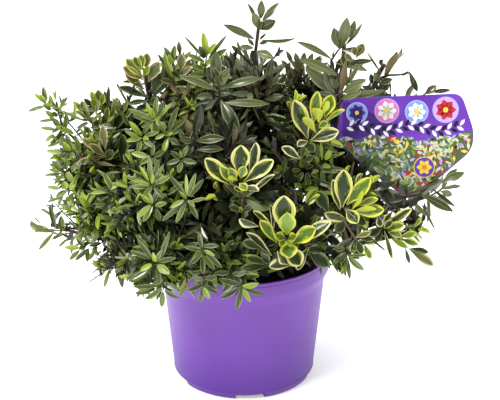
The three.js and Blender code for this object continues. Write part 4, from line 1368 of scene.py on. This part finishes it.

# %% Sprays of the front and the middle
# middle_shade and right_shade are broad leaves of the darkest class, put where the crown lies in shade:
# painted shade
FRONT_SPRAYS = sprays_of("""
front_left_star green front_left -0.122 0.01
166 252, 160 260, 156 264
157 265 170 274 8 7.5 4 0, 152 264 140 271 8 5.5 5, 153 260 137 239 4 5 2, 152 259 130 251 4 5 2,
160 260 170 232 3 5 2, 153 267 131 280 4 5.5 2, 155 262 153 252 10 4 5, 157 266 160 284 6 5 2,
158 262 176 258 5 5 2, 156 262 162 249 8 4 3

front_left_hanging green front_left -0.118 0.008 0 -0.05 -0.02
164 262, 164 276, 163 292
162.9 291 161.8 307 2 6 3, 164 290 180 298 3 5.4 2, 162 288 145 299 3 5.4 3, 163 284 132.5 286.5 4 5.4 2,
164 282 178 288 5 6 2, 163 278 152 284 6 5 3, 156 288 135 293 2 6 2, 160 290 146 299 3 6 3

front_star green front_left -0.112 0.011
186 218, 186 208, 186.5 198
186 197 169 175 3 5 2, 188 196 196 173 3 5 3, 187 196 186 174 5 3.5 5, 189 197 204 179 2 5 1,
190 202 207 198 4 3.5 3, 184 200 170 208 7 4.5 4, 185 202 162 221 4 5 2, 186 203 176 223 5 5 3,
189 203 198 219 6 4.5 2, 186 199 179 191 9 3.5 4, 188 200 195 207 9 3.5 3

front_low green front -0.128 0.01
200 236, 202 246, 204 254
202 246 219 246 5 4.5 1, 205 252 222 268 4 5 1, 203 255 215 270 6 5 2, 202 254 189 265 5 4.5 1,
201 250 184 247 5 4.5 1, 202 248 198 232 4 4.5 2, 204 250 215 256 9 3.5 4, 202 256 203 274 5 4.5 1

front_hanging green front -0.127 0.01 0 -0.05 -0.02
224 262, 232 276, 242 287
241 284 218.6 278 4 7 1, 240 287 219.6 298.4 4 6 1, 242 288 236.4 309.6 3 5.6 2, 243 288 250.7 302 5 4.6 4,
244 288 264 294 3 5 2, 242 286 259 283 5 6 4, 234 279 222 292 6 6 1, 230 272 214 272 4 6 1,
232 274 246 272 5 6 1

front_hanging_left green front -0.124 0.008 0 -0.05 -0.02
206 264, 205 276, 203 287
203 287 199.7 302.4 2 5.4 2, 204 284 218 293 4 5.4 1, 203 284 188 290 4 5.4 1, 204 280 192 276 6 5 2,
205 278 217 276 5 6 1, 203 287 210 299 6 5 4

middle_tall dark top -0.028 0.015
222 124, 219.5 98.3, 218.3 80
218 91 180 76 4 7 3, 222 88 262 78 4 8 3, 220.8 100 239.3 134 16 13 2 0, 222 103 270 104 6 8 3,
218 82 212 66 4 8 2, 219 82 230 68 4 8 3, 218 100 196 104 8 5 1, 218 84 216 74 9 5 5, 221 84 228 78 9 6 4

middle_pair dark middle -0.062 0.014
204 164, 198 150, 193 138
193 136 201 104 4 10 1 20, 196 141 225 138 6 9 2, 196 150 224 149 4 7 2, 193 142 180 139 6 7 2,
191 134 187 119 6 6 5, 194 146 184 156 8 7 1

middle_dark dark middle -0.055 0.012
246 168, 238 154, 232.5 143
231 142 218 114 3 8 0, 233 143 237 126 4 5 5, 237 142 246 120 0 8 1 20, 236 144 258 136 4 7 1,
240 152 226 158 6 7 0

top_right_leaves dark top 0 0.01
258 122, 264 100, 267 86
260 98.9 255 87 4 6 4, 268 84 272 58 0 8 2, 266 97 272 85 6 5 5, 264 100 284 96 6 7 3,
262 104 246 110 10 8 2, 267 86 282 76 4 7 2

rosette_upper cream cream_upper -0.05 0.022
302 152, 305 143, 311 133, 317 124
308 139 293.7 100 4 16.5 1, 313 124 317.5 91 -3 11 2, 325 118 331.6 95 -3 13 2, 321 115 328.7 101 3 6 3 150,
319 123 315.5 108 6 11 3 155, 316 133 303.5 117 8 9 3 145, 325 122 345 110 1 9 2 -58, 318 128 328 122 5 7 2,
310 141 339 131 5 13 1 -18, 308 141 297 146 6 8 0 30, 306 142 314 152 4 9 5

rosette_front_top cream cream_front_top -0.108 0.024
244 212, 242 200, 240 186
231 185.5 204.8 158.4 2 14.5 1, 239.5 176 241 145 -3 17 1, 249 174 256 142 -8 12 0 35,
244 182 273.6 160 0 13 1, 246 197 275 174.5 4 12 0 -62, 241 187 259 191 11 9 0 -48, 233 183.5 220 166 8 9 2,
236 181.5 229 167.5 7 8.5 2, 240.4 178.5 244.5 166 3 9 2, 238 180 228 177.5 10 5 3 150,
239.5 183 247 190.5 12 8 2, 240 198 226.5 185 6 9 5 50, 243 192 234 188 9 6 1 60

rosette_stem cream cream_front_top -0.11 0.007
246 226, 242 213, 242 200
241 211 229 206 5 6 5, 243 211.5 252 206 5 6 5, 242 213 239 207 8 4 2

single_cream cream cream_upper -0.07 0.012
306 172, 304 164, 301 158
301 159 281.5 147 4 9 0 25, 302 158 304 146 4 5 5, 304 162 314 156 6 6 5

rosette_front cream cream_front -0.118 0.027
276 268, 281 256, 286 240
284 233 284 195.4 -2 21 1, 287 235 287.2 212.3 6 16 3, 277 243 259.5 220.5 3 11 2 32,
272 226 252.8 211 -2 9 1 55, 273 232 270 204 -8 9 0 60, 292 243.5 316 228 4 15 2,
297 244 331 221.5 -2 13 0 -30, 303.8 246 327 236 -4 10 5 -50, 272 256 246 232.7 2 10.5 0 52,
287.2 241 289.7 258 13 16 2, 285 239 275 234.5 11 9 2, 288.5 239 296.5 236 11 9 2, 285 240 280 247 12 7 2,
287.5 240 291 247 13 6 3, 286 246 300.6 265.5 6 16 1, 277 251 290.4 265 3 11 0 58, 300 262 269 267 2 15 0 50,
309 247 297 270 0 11 0 35, 259.4 226.5 239 219 3 10 0 -50, 262 249 243 242 -4 9 5 20

front_low_edged cream cream_front -0.116 0.008
278 254, 274 262, 269 266
268.5 266 241 269 3 9 5 20, 268 264 246 257.5 1 8 5 20, 270 264 262 254 5 8 5

rim_leaf cream cream_front -0.098 0.008
300 240, 304 246, 308 250
307.5 250 328.6 266.5 2 13 5, 306 249 322 250 4 9 5

rosette_right cream cream_right -0.08 0.024
350 228, 348 218, 345 209
342 208 344 169.5 -4 17 1, 340 210.5 332.4 179.5 0 12 1 30, 346.5 205 371 177.5 0 14 2,
352 210 362.5 190.5 9 7 3 130, 357 206 378.3 199 2 9 2 -35, 354 211 376.6 209 8 9 3 -140,
353 212 384.3 210 4 13 2, 345.6 209 358 223 10 12 1, 348 220.5 324.5 213 4 10.5 1 -25,
328.5 213 317 191 -4 12 5, 378 215.7 381 227 2 7 0, 352 216 366 224 3 10 5, 346 220 336 232 2 10 5

right_low_cream cream cream_right_low -0.066 0.014
366 214, 376 222, 384 227
385 226.5 412 208.5 2 8.5 1 -10, 386 228 404 225 7 9 2, 384 230 392.5 259.5 3 5 0, 388 232 402 236 6 7 2,
384 226 378 212 3 7 5, 382 227 370 236 6 8 5, 382 229 376 242 4 7 5, 393 211 384 222 4 6 1,
384 229 392 220 6 7 1

right_low_lime cream cream_right_low -0.058 0.01
384 227, 392 234, 400 240
401 239 418.5 245 6 7 2, 400 237 417 233 4 7 3, 390 238 408 248 7 6 3, 408 248 433.5 265.5 1 9 4,
405 247 409.5 263.5 2 4 5, 410 248 428.5 252.5 -1 6 5

hanging_right green right_patch -0.09 0.009 0 -0.05 -0.02
340 232, 344 246, 347 257
347 256 341 275 3 6 3, 347 257 350 279 4 4.4 2, 348 256 364 270 3 7 3, 348 255 369 254 3 4 3,
346 252 333 262 5 6 2, 345 249 334 247 6 6 2, 346 248 359 246 6 7 3, 355 255 361 247 3 6 2

hanging_right_edged cream right_patch -0.094 0.008
344 224, 350 232, 356 240
352 238 337 247 5 5 5 30, 354 240 350.6 252 6 5 5 30, 357 240 362 254 6 7 5, 356 236 374 240 5 6 5,
356 237 371 232 5 6 4, 364 244 371 259 3 7 2

middle_shade dark middle -0.04 0
208 234, 208 224, 208 214
208 212 198 197 3 10 0, 208 212 221 201 3 10 0, 208 216 194 223 3 10 0, 209 218 223 225 3 10 0,
208 218 206 234 3 10 0, 224 222 213 205 3 11 0, 222 218 237 208 3 11 0, 226 224 240 217 3 11 0,
222 226 222 212 3 11 0

right_shade dark cream_right -0.035 0
346 190, 356 184, 366 178, 374 172
370 176 397 208 3 13 1 0, 356 192 384 168 2 11 1 0, 352 188 366 160 2 11 0 0, 344 180 352 148 2 11 0 0,
366 190 396 182 2 9 1 0, 372 166 386 173 6 6 3 0, 340 172 334 146 2 10 0 0, 380 198 404 199 4 9 1 0,
374 196 388 216 4 9 1 0, 356 178 372 160 3 8 1 0, 340 134 357 160 4 2 3 0

between_star green cream_right -0.05 0.01
324 182, 323 172, 322 163
325 160 333 148 4 6 5, 322 161 321 141 3 3 4, 317 162 318 144 2 5.5 2, 326 156 330 140 1 4.5 2,
327 159 345 152 2 3.5 4, 318 164 315 154 4 4 4, 322 166 331 167 6 5 4, 319 168 347 170 3 4.5 2,
320 171 338 172 5 4 3, 319 170 312 173 6 4 4, 331 167 332 156 4 3 3, 321 170 324 182 5 4.5 2

between_left green cream_upper -0.052 0.01
306 188, 304 178, 303 169
302 168 302 157.5 4 6 4, 304 167 311.5 157.5 3 5 3, 300 166 292 159 3 5 2, 299 143 310.5 158 3 4.6 3,
306 168 314 165 4 4.4 2, 307 172 309 186 4 6 2, 300 174 283 181.5 3 4.4 3, 303 172 298 182 5 5 2,
301 170 290 171 4 5 2, 311 172 318 178 4 5 2

between_low green cream_front -0.06 0.009
302 208, 301 198, 302 190
304 189.5 318.5 188.5 4 5 4, 303 187.5 294 183.5 4 5 4, 300.5 190 300 201 4 5 3, 305 192.5 318 192 3 4.4 2,
302 190 293 195 4 5 2, 304 191 311 200 4 5 2, 303 188 306 180 4 4.4 3, 316 181 331 185.5 2 5.4 1

between_far_left green cream_front_top -0.05 0.008
284 192, 283 182, 282 173
283 172 290.5 168 3 4.4 3, 281 172 277.5 164.5 4 5.4 4, 283 174 290 180 4 5 2, 281 174 275 179 4 5 2,
282 170 286 160 2 5 2, 280 171 273 172 3 4.4 3

behind_rosette dark cream_upper -0.02 0.008
290 160, 288 150, 287 142
281 141 279 122 2 5.6 2, 284 141 284.5 128 4 5 3, 291 140 298 127 3 5 4, 287 142 276 136 3 6 1,
288 143 298 138 3 6 1, 286 144 276 150 4 6 0
""")
print(len(FRONT_SPRAYS), "sprays")

# %% Growing the sprays
LEAVES = {(kind, layer): [] for kind in KINDS for layer in LAYERS}  # lists of leaf arrays
TWIG_SHAPES = {"hand": (22, 6), "fine": (9, 5), "plain": (5, 4)}  # steps along, sides round
TWIGS = {(kind, layer): [] for kind in KINDS for layer in TWIG_SHAPES}  # lists of (path, radii)
SPACE_AHEAD = 0.055  # how far in front of a spray its space reaches
COMES_FORWARD = 0.012  # how far a stem's foot lies behind its tip


def seed_of(name):
    return sum(map(ord, name))


def hand_leaves(spray, focus, dice):
    """Leaf arrays of one spray. The chord runs from foot to tip and the normal looks halfway between
    the focus and the camera, or, where a leaf's turn is given, at the camera, turned about the chord.
    On an arc of bend b the chord is 2 sin(b/2)/b of the length, and the blade sets out turned from the
    chord by half of the bend."""
    rows = np.array([[*row, math.nan][:8] for row in spray["leaves"]])
    foot = seen(rows[:, 0], rows[:, 1], spray["depth"])
    tip = seen(rows[:, 2], rows[:, 3], spray["depth"] - rows[:, 4] / 1000)
    count = len(rows)
    rule = KINDS[spray["kind"]]
    chord = tip - foot
    reach = np.linalg.norm(chord, axis=1)
    chord = unit(chord)
    by_hand = ~np.isnan(rows[:, 7:])
    turn = np.radians(np.nan_to_num(rows[:, 7:]))
    middle = (foot + tip) / 2
    normal = unit(CAMERA_PLACE - middle) + np.where(by_hand, 0, unit(focus - middle))
    normal = unit(normal - chord * (normal * chord).sum(1, keepdims=True))
    normal = normal * np.cos(turn) + np.cross(chord, normal) * np.sin(turn)
    bend = rule["bend"] * dice.uniform(0.5, 1.6, count)
    half = bend[:, None] / 2
    return {
        "base": foot, "along": chord * np.cos(half) + normal * np.sin(half),
        "up": normal * np.cos(half) - chord * np.sin(half),
        "length": reach * bend / (2 * np.sin(bend / 2)), "width": rows[:, 5] / 1000 * rule["slim"],
        "bend": bend, "fold": rule["fold"] * dice.uniform(0.6, 1.4, count),
        "twist": dice.normal(0, 0.15, count), "age": np.zeros(count), "tint": np.zeros(count),
        "shade": rows[:, 6].astype(int),
    }


def grow_by_hand(spray, dice):
    """A spray's leaves, its stem led back to its mass, and the space that it keeps."""
    kind, room = spray["kind"], spray["room"]
    line = seen(*np.array(spray["stem"]).T, spray["depth"])
    line[:, 1] += np.linspace(COMES_FORWARD, 0, len(line))
    root = MASSES[spray["mass"]][0]
    reach = np.linalg.norm(line[0] - root)
    link_controls = [root, line[0] - unit(line[1] - line[0]) * reach * 0.5, line[0]]
    link = on_curve(link_controls, np.linspace(0, 1, 9))
    path = on_line(np.concatenate([link, line[1:]]), np.linspace(0, 1, TWIG_SHAPES["hand"][0]))
    rule = KINDS[kind]
    TWIGS[kind, "hand"].append((path, np.linspace(rule["thick"] * 1.3, rule["thin"], len(path))))
    LEAVES[kind, "hand"].append(hand_leaves(spray, line[-1] + spray["ahead"], dice))
    middle = LEAVES[kind, "hand"][-1]["base"].mean(0)
    to_camera = unit(CAMERA_PLACE - middle)
    OWN_SPACES.append((middle + to_camera * room * 0.5, middle + to_camera * SPACE_AHEAD, room))
    if spray["mass"] in TIP_MASSES:
        OWN_SPACES.append((line[0], line[-1], room * 0.8))
    return kind, link_controls


HAND_LINKS = {name: grow_by_hand(spray, np.random.default_rng(seed_of(name)))
              for name, spray in (TOP_SPRAYS | LEFT_SPRAYS | FRONT_SPRAYS).items()}
print(sum(len(part["age"]) for parts in LEAVES.values() for part in parts), "leaves set by hand")

# %% [markdown]
# ## Shoots by rule
# A hebe's leaves stand in pairs, each crossed to the last and closer to the stem near the growing tip.
# A shoot is a short curve with a pair at every node.


# %% Shoot rule
def path_frame(controls, at, near=0.02):
    """Points, directions and two sideways directions of a curve at shares of its length."""
    at = np.asarray(at, float)
    ahead, behind = on_curve(controls, np.minimum(at + near, 1)), on_curve(controls, np.maximum(at - near, 0))
    along = unit(ahead - behind)
    side = unit(np.cross(along, np.eye(3)[np.abs(along.mean(0)).argmin()]))
    return on_curve(controls, at), along, side, np.cross(along, side)


def pair_leaves(kind, controls, at, roll, age, size, dice, tint, light=0.55):
    """A crossed pair of leaves at each share of a shoot. A leaf leaves the stem at an angle that opens
    with its age, at a turn that goes round by a quarter from pair to pair, and its upper face looks at
    the tip and a little up to the light."""
    rule = KINDS[kind]
    parts = (*path_frame(controls, at), age, size)
    points, along, side, other, age, size = (np.repeat(part, 2, 0) for part in parts)
    count = len(points)
    turn = roll + np.repeat(np.arange(len(at)), 2) * math.pi / 2 + np.tile([0, math.pi], len(at))
    turn = turn + dice.normal(0, 0.16, count)
    outwards = side * np.cos(turn)[:, None] + other * np.sin(turn)[:, None]
    opening = np.radians(rule["tip_angle"] + (rule["old_angle"] - rule["tip_angle"]) * (1 - age) ** 0.7
                         + dice.normal(0, 9, count))[:, None]
    way = unit(along * np.cos(opening) + outwards * np.sin(opening)
               - np.array([0, 0, rule["droop"]]) * (1 - age)[:, None])
    up = along * np.sin(opening) - outwards * np.cos(opening) + np.array([0, 0, light])
    up = unit(up - way * (up * way).sum(-1, keepdims=True))
    return {
        "base": points, "along": way, "up": up,
        "length": rule["length"] * size * dice.uniform(0.82, 1.16, count),
        "width": rule["width"] * size**0.8 * dice.uniform(0.86, 1.14, count),
        "bend": rule["bend"] * dice.uniform(0.3, 1.6, count) * (1 - 1.4 * age),
        "fold": rule["fold"] * dice.uniform(0.5, 1.5, count) + 0.3 * age,
        "twist": dice.normal(0, 0.25, count), "age": age, "tint": np.full(count, tint),
        "shade": np.full(count, -1),
    }


def shoot(kind, layer, controls, dice, tint, scale=1.0, bare=None, thick=1.0, twig=True):
    """One leafy shoot: a twig and leaf pairs from past its bare foot to its tip."""
    rule = KINDS[kind]
    bare = rule["bare"] if bare is None else bare
    length = length_of(on_curve(controls, np.linspace(0, 1, 12)))
    pairs = max(3, int(round(length * (1 - bare) / (rule["node"] * scale))))
    at = 1 - (1 - bare) * (1 - np.linspace(0, 1, pairs) ** 0.75)
    from_tip = np.arange(pairs)[::-1]
    age = np.clip(1 - from_tip / rule["young"], 0, 1)  # 1 at the tip
    size = scale * np.clip(0.5 + 0.5 * from_tip / rule["young"], 0, 1)
    roll = dice.uniform(0, math.pi)
    LEAVES[kind, layer].append(pair_leaves(kind, controls, at, roll, age, size, dice,
                                           tint + dice.normal(0, 0.5)))
    if twig:
        foot, tip = rule["thick"], rule["thin"]
        share = np.linspace(0, 1, TWIG_SHAPES[layer][0])
        radii = (foot + (tip - foot) * share) * thick * scale**0.5
        TWIGS[kind, layer].append((on_curve(controls, share), radii))


# %% [markdown]
# ## Where shoots end
# The tips of shoots are spread over each CAD mass where its surface looks out of the crown. Branches go
# from the bough to the widest-set tips, and twigs from the nearest branch to the others. A second set
# of shoots, old and painted dark as shade, fills the inside of the mass.

# %% Tips on a mass
LEAF_KIND = {part["node"][len("foliage_"):]: part["material_slot"].split("_")[0]
             for part in frame["record"]["subparts"] if part["node"].startswith("foliage_")}
# where a mass differs from the usual: leaf size, lightness (partly the leaves' age, partly painted light
# and shade: lighter where the crown is lit, darker in its hollows), a second leaf kind and its share, the
# shares of outer and inner shoots that are kept, how dark the inner ones are painted as shade, and
# whether the bough's own side shoots are stubs
MASS_LOOKS = {name: dict(zip(row[::2], row[1::2])) for name, row in table("""
left_upper_tip scale 0.8 tint 0.3 outer 0.35, left_upper scale 0.95 tint 0.9 deep -1.2,
left_tip scale 0.9 tint 0.4 outer 0 inner 0.1 deep -1 stubs 1, left scale 1.1 tint 1.1 deep -1.5,
left_middle scale 1.1 tint 0.2, front_left scale 1.1 tint 0.25 deep -2, front tint -0.7,
left_low tint 0.2 outer 0.8 deep -1.6, top_left scale 0.75 tint 1.5 second green share 0.55,
top scale 0.85, middle scale 0.8 tint -1.6, top_shoot scale 0.7 outer 0,
right_shoot scale 0.7 tint 0.3 outer 0, right_top tint 0.9, right_back tint 0.3,
right_back_shoot scale 0.8 tint 0.2 outer 0.15,
cream_left scale 0.75 second green share 0.5 outer 0.6,
cream_upper second dark share 0.6 tint -0.3,
cream_right scale 0.9 second green share 0.5 tint -0.5,
cream_front scale 0.9 second green share 0.5 tint -0.3,
cream_front_top scale 0.9 second dark share 0.6 tint -0.6,
cream_right_low scale 0.8 second green share 0.5 outer 0.12 inner 0.1 deep -1 stubs 1,
right scale 0.9 tint -0.2 outer 0.1 inner 0.14 deep -1.4 stubs 1,
right_patch scale 0.85 outer 0.4 inner 0.35 deep -1 stubs 1""").items()}
print(LEAF_KIND)


def surface_points(node_name, count, dice):
    """Random points on a CAD node, spread over its triangles by area, with their normals."""
    mesh = frame["nodes"][node_name].data
    mesh.calc_loop_triangles()
    corners = np.empty(len(mesh.loop_triangles) * 3, np.int32)
    mesh.loop_triangles.foreach_get("vertices", corners)
    places = np.empty(len(mesh.vertices) * 3, np.float32)
    mesh.vertices.foreach_get("co", places)
    triangle = places.reshape(-1, 3)[corners.reshape(-1, 3)].astype(float)
    normal = np.cross(triangle[:, 1] - triangle[:, 0], triangle[:, 2] - triangle[:, 0])
    area = np.linalg.norm(normal, axis=1)
    chosen = dice.choice(len(triangle), count, p=area / area.sum())
    a, b = np.sort(dice.uniform(0, 1, (2, count, 1)), axis=0)
    t = triangle[chosen]
    return t[:, 0] * a + t[:, 1] * (b - a) + t[:, 2] * (1 - b), unit(normal[chosen])


def outside(points, own):
    """True where a point lies in no other mass: the sum of its shares of the half sizes, squared, is
    over a little less than 1."""
    others = [box for name, box in MASSES.items() if name != own]
    return np.all([(((points - centre) / half) ** 2).sum(-1) > 0.8 for centre, half in others], 0)


def spread(points, spacing):
    """Which of the points, taken in turn, lie further than the spacing from all those taken before."""
    taken = []
    for i, point in enumerate(points):
        if not taken or np.linalg.norm(points[taken] - point, axis=1).min() > spacing:
            taken.append(i)
    return np.array(taken, int)


def well_spread(points, normals, free, spacing):
    """Of the free points, those that are spread by the spacing, with their normals."""
    points, normals = points[free], normals[free]
    chosen = spread(points, spacing)
    return points[chosen], normals[chosen]


def off_the_pot(points):
    """True where a point isn't in the pot or just over its rim."""
    radius = np.hypot(points[:, 0], points[:, 1])
    return ~((radius < RIM_RADIUS + 0.004) & (points[:, 2] < POT_HEIGHT + 0.004))


def outer_tips(name, spacing, inset, dice):
    """Tips and their outward directions on one mass."""
    points, normals = surface_points("foliage_" + name, 900, dice)
    free = outside(points + normals * 0.010, name) & off_the_pot(points)
    points, normals = well_spread(points, normals, free, spacing)
    tips = points - normals * inset
    open_air = ~(in_own_space(tips) | in_open_sky(tips))
    return tips[open_air], normals[open_air]


def inner_tips(name, spacing, dice):
    """Tips inside one mass: surface points drawn in towards its centre by a share."""
    centre = MASSES[name][0]
    points, normals = surface_points("foliage_" + name, 500, dice)
    points = centre + (points - centre) * dice.uniform(0.35, 0.8, (len(points), 1))
    return well_spread(points, normals, off_the_pot(points), spacing)


# %% Growth in a mass
PLANT_HEART = np.array([0.0, 0.0, 0.17])
# how much darker the leaves inside the crown are painted, as shade
INNER_SHADE_TINT = -2.6
STUBS, SIDE_SHOOTS = (0.010, 0.022), (0.022, 0.040)  # how far a bough's own shoots reach


def growth_way(tips, normals):
    """The way a shoot grows at its tip: outwards from the crown, along the surface's normal and a little
    up, less so where it hangs low."""
    away = unit((tips - PLANT_HEART) * (1, 1, 0.8))
    lift = np.clip((tips[:, 2] - 0.15) / 0.08, -0.35, 0.75)
    return unit(0.7 * normals + 0.6 * away + np.stack([0 * lift, 0 * lift, lift], -1))


def twig_controls(start, tip, way, dice):
    """A shoot's curve, pulled to a point behind its tip, so that it ends in its way."""
    reach = np.linalg.norm(tip - start)
    return [start, tip - way * reach * 0.45 + dice.normal(0, 0.002, 3), tip]


def grow_mass(name, kind, dice):
    """Branches and twigs of one mass, leafy along their outer part."""
    looks = MASS_LOOKS.get(name, {})
    # tint is the mass's lightness: partly the leaves' age, partly painted light and shade
    rule, scale, tint = KINDS[kind], looks.get("scale", 1.0), looks.get("tint", 0.0)
    deep = looks.get("deep", INNER_SHADE_TINT)
    centre = MASSES[name][0]
    if name in TIP_MASSES:
        parent = MASSES[TIP_MASSES[name]][0]
        limb = [parent, (parent + centre) / 2, centre]
    else:
        limb = limb_curves["bough_" + name]

    def kind_of_shoot():
        return looks["second"] if dice.uniform() < looks.get("share", 0) else kind

    def some(tips, normals, share):
        kept = dice.uniform(size=len(tips)) < share
        return tips[kept], growth_way(tips[kept], normals[kept])

    tips, ways = some(*outer_tips(name, rule["spacing"] * scale, rule["length"] * scale * 0.42, dice),
                      looks.get("outer", 1.0))
    main = spread(tips, rule["spacing"] * 2.1)
    branches = []
    for i in main:
        start = on_curve(limb, [dice.uniform(0.55, 1.0)])[0]
        branches.append(twig_controls(start, tips[i], ways[i], dice))
        shoot(kind_of_shoot(), "fine", branches[-1], dice, tint, scale, thick=1.25)
    for i in np.setdiff1d(np.arange(len(tips)), main):
        nearest = branches[int(np.linalg.norm(tips[main] - tips[i], axis=1).argmin())]
        start = on_curve(nearest, [dice.uniform(0.3, 0.55)])[0]
        shoot(kind_of_shoot(), "fine", twig_controls(start, tips[i], ways[i], dice), dice,
              tint, scale, bare=0.06)
    if name in TIP_MASSES:
        return
    # the inner shoots take the darker tint: painted shade
    for tip, way in zip(*some(*inner_tips(name, rule["spacing"] * 0.82, dice),
                              looks.get("inner", 1.0))):
        start = on_curve(limb, [dice.uniform(0.5, 1.0)])[0]
        shoot(kind, "plain", twig_controls(start, tip, way, dice), dice, deep, bare=0.0)
    side_shoots(kind, limb, dice, deep, 0.3, 0.009, STUBS if "stubs" in looks else SIDE_SHOOTS)


def side_shoots(kind, limb, dice, deep, first, spacing, reach):
    """Short old shoots that leave a limb from a share of its length on, each turned on by the golden
    angle from the last and leaning forward and up, so that no limb stands bare in the crown."""
    length = length_of(on_curve(limb, np.linspace(0, 1, 12)))
    at = np.linspace(first, 0.97, max(2, int(length * (0.97 - first) / spacing)))
    points, along, side, other = path_frame(limb, at)
    turn = np.arange(len(at)) * math.radians(137.5) + dice.uniform(0, 6)
    out = side * np.cos(turn)[:, None] + other * np.sin(turn)[:, None]
    ways = unit(out + 0.5 * along + np.array([0, 0, 0.35]))
    tips = points + ways * dice.uniform(*reach, (len(at), 1))
    for start, tip, way in zip(points, tips, ways):
        if off_the_pot(tip[None])[0]:
            shoot(kind, "plain", [start, (start + tip) / 2 + way * 0.004, tip], dice, deep, bare=0.15)


for name in MASSES:
    grow_mass(name, LEAF_KIND[name], np.random.default_rng(seed_of(name)))
for name, kind in {"green": "green", "dark": "dark", "cream": "green", "back": "dark"}.items():
    side_shoots(kind, limb_curves["stem_" + name], np.random.default_rng(len(name)), INNER_SHADE_TINT, 0.16,
                0.003, (0.03, 0.062))
for name, (kind, link) in HAND_LINKS.items():
    shoot(kind, "plain", link, np.random.default_rng(seed_of(name) + 1), INNER_SHADE_TINT, bare=0.2, twig=False)
print({key: len(twigs) for key, twigs in TWIGS.items()}, "shoots")

# %% [markdown]
# ## Joining leaves and twigs
# All leaves of a kind and layer become a few meshes, each under the limit for one piece, and so do the
# twigs. Leaves that would pass through something or stand in a kept space are left out first.

# %% Leaf pieces
MOST_TRIANGLES = 180_000


def leaf_classes(leaves, dice):
    """The colour class of each leaf, 0 shaded to 5 young: as listed, or from its age, its spray's tint
    and chance. Class 0, for inner leaves only, is painted shade, and the tint is partly the leaves' age,
    partly painted light and shade."""
    score = 2.15 + leaves["age"] * 2.5 + leaves["tint"] + dice.normal(0, 0.6, len(leaves["age"]))
    # class 0 is painted shade and goes only to inner leaves
    lowest = np.where(leaves["tint"] < INNER_SHADE_TINT / 2, 0, 1)  # only inner leaves may be deep
    classes = np.clip(np.round(score), lowest, 5).astype(int)
    return np.where(leaves["shade"] >= 0, leaves["shade"], classes)


def cream_classes(leaves, dice):
    """The same for cream-edged leaves: young ones are lime or yellow, grown ones pale-edged, yellow,
    pink or dark, and inner ones dark, as painted shade."""
    chance = dice.uniform(size=len(leaves["age"]))
    young = np.where(chance < 0.5, 2, 3)
    grown = np.choose((chance > 0.35).astype(int) + (chance > 0.75) + (chance > 0.88), [0, 1, 5, 4])
    classes = np.where(leaves["age"] > 0.45, young, grown)
    classes = np.where(leaves["tint"] < INNER_SHADE_TINT / 2, 5, classes)
    return np.where(leaves["shade"] >= 0, leaves["shade"], classes)


def leaf_pieces(kind, layer, dice):
    """The pieces of one kind and layer."""
    parts = LEAVES[kind, layer]
    leaves = {key: np.concatenate([part[key] for part in parts]) for key in parts[0]}
    rule = KINDS[kind]
    template = rule["templates"][layer]
    reach = leaves["along"] * leaves["length"][:, None]
    probe = leaves["base"][:, None] + reach[:, None] * np.array([0.15, 0.5, 1.0])[:, None]
    taken = in_own_space(probe) | hides_label(probe) | in_open_sky(probe)
    keep = clear(probe) & ((layer == "hand") | ~taken.any(1))
    leaves = {key: value[keep] for key, value in leaves.items()}
    count = len(leaves["age"])
    points = blades(template, rule, leaves)
    classes = (cream_classes if kind == "cream" else leaf_classes)(leaves, dice)
    finish = dealt_finishes(kind, template, classes, dice)
    quads, triangles = template["quads"], template["triangles"]
    pieces = []
    groups = math.ceil(count * template["size"] / MOST_TRIANGLES)
    for group, part in enumerate(np.array_split(np.arange(count), groups)):
        first = np.arange(len(part))[:, None, None] * len(template["u"])
        faces = [(quads + first).reshape(-1, 4), (triangles + first).reshape(-1, 3)]
        shades = np.concatenate([finish[part, :len(quads)].ravel(), finish[part, len(quads):].ravel()])
        pieces.append(mesh_piece(f"{kind}_leaves_{layer}_{group + 1}", points[part].reshape(-1, 3), faces,
                                 LEAF_FINISHES[kind], shades))
    print(kind, layer, count, "leaves,", int((~keep).sum()), "left out")
    return pieces


for kind in KINDS:
    for layer in LAYERS:
        pieces = leaf_pieces(kind, layer, np.random.default_rng(len(kind) + len(layer)))
        if layer == "fine":
            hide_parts(*("foliage_" + name for name in MASSES if LEAF_KIND[name] == kind))

# %% Twig pieces
TWIG_FINISHES = {
    "green": finish_of("green_kind_twig", (46, 35, 30), 0.6),
    "dark": finish_of("dark_kind_twig", (64, 46, 36), 0.55),
    "cream": finish_of("cream_kind_twig", (84, 66, 48), 0.6),
}
for kind in KINDS:
    parts = []
    for layer, (_, sides) in TWIG_SHAPES.items():
        if TWIGS[kind, layer]:
            paths, radii = (np.stack(column) for column in zip(*TWIGS[kind, layer]))
            parts.append(tubes(paths, radii, sides))
    twigs = mesh_piece(f"{kind}_twigs", *joined(parts), [TWIG_FINISHES[kind]])
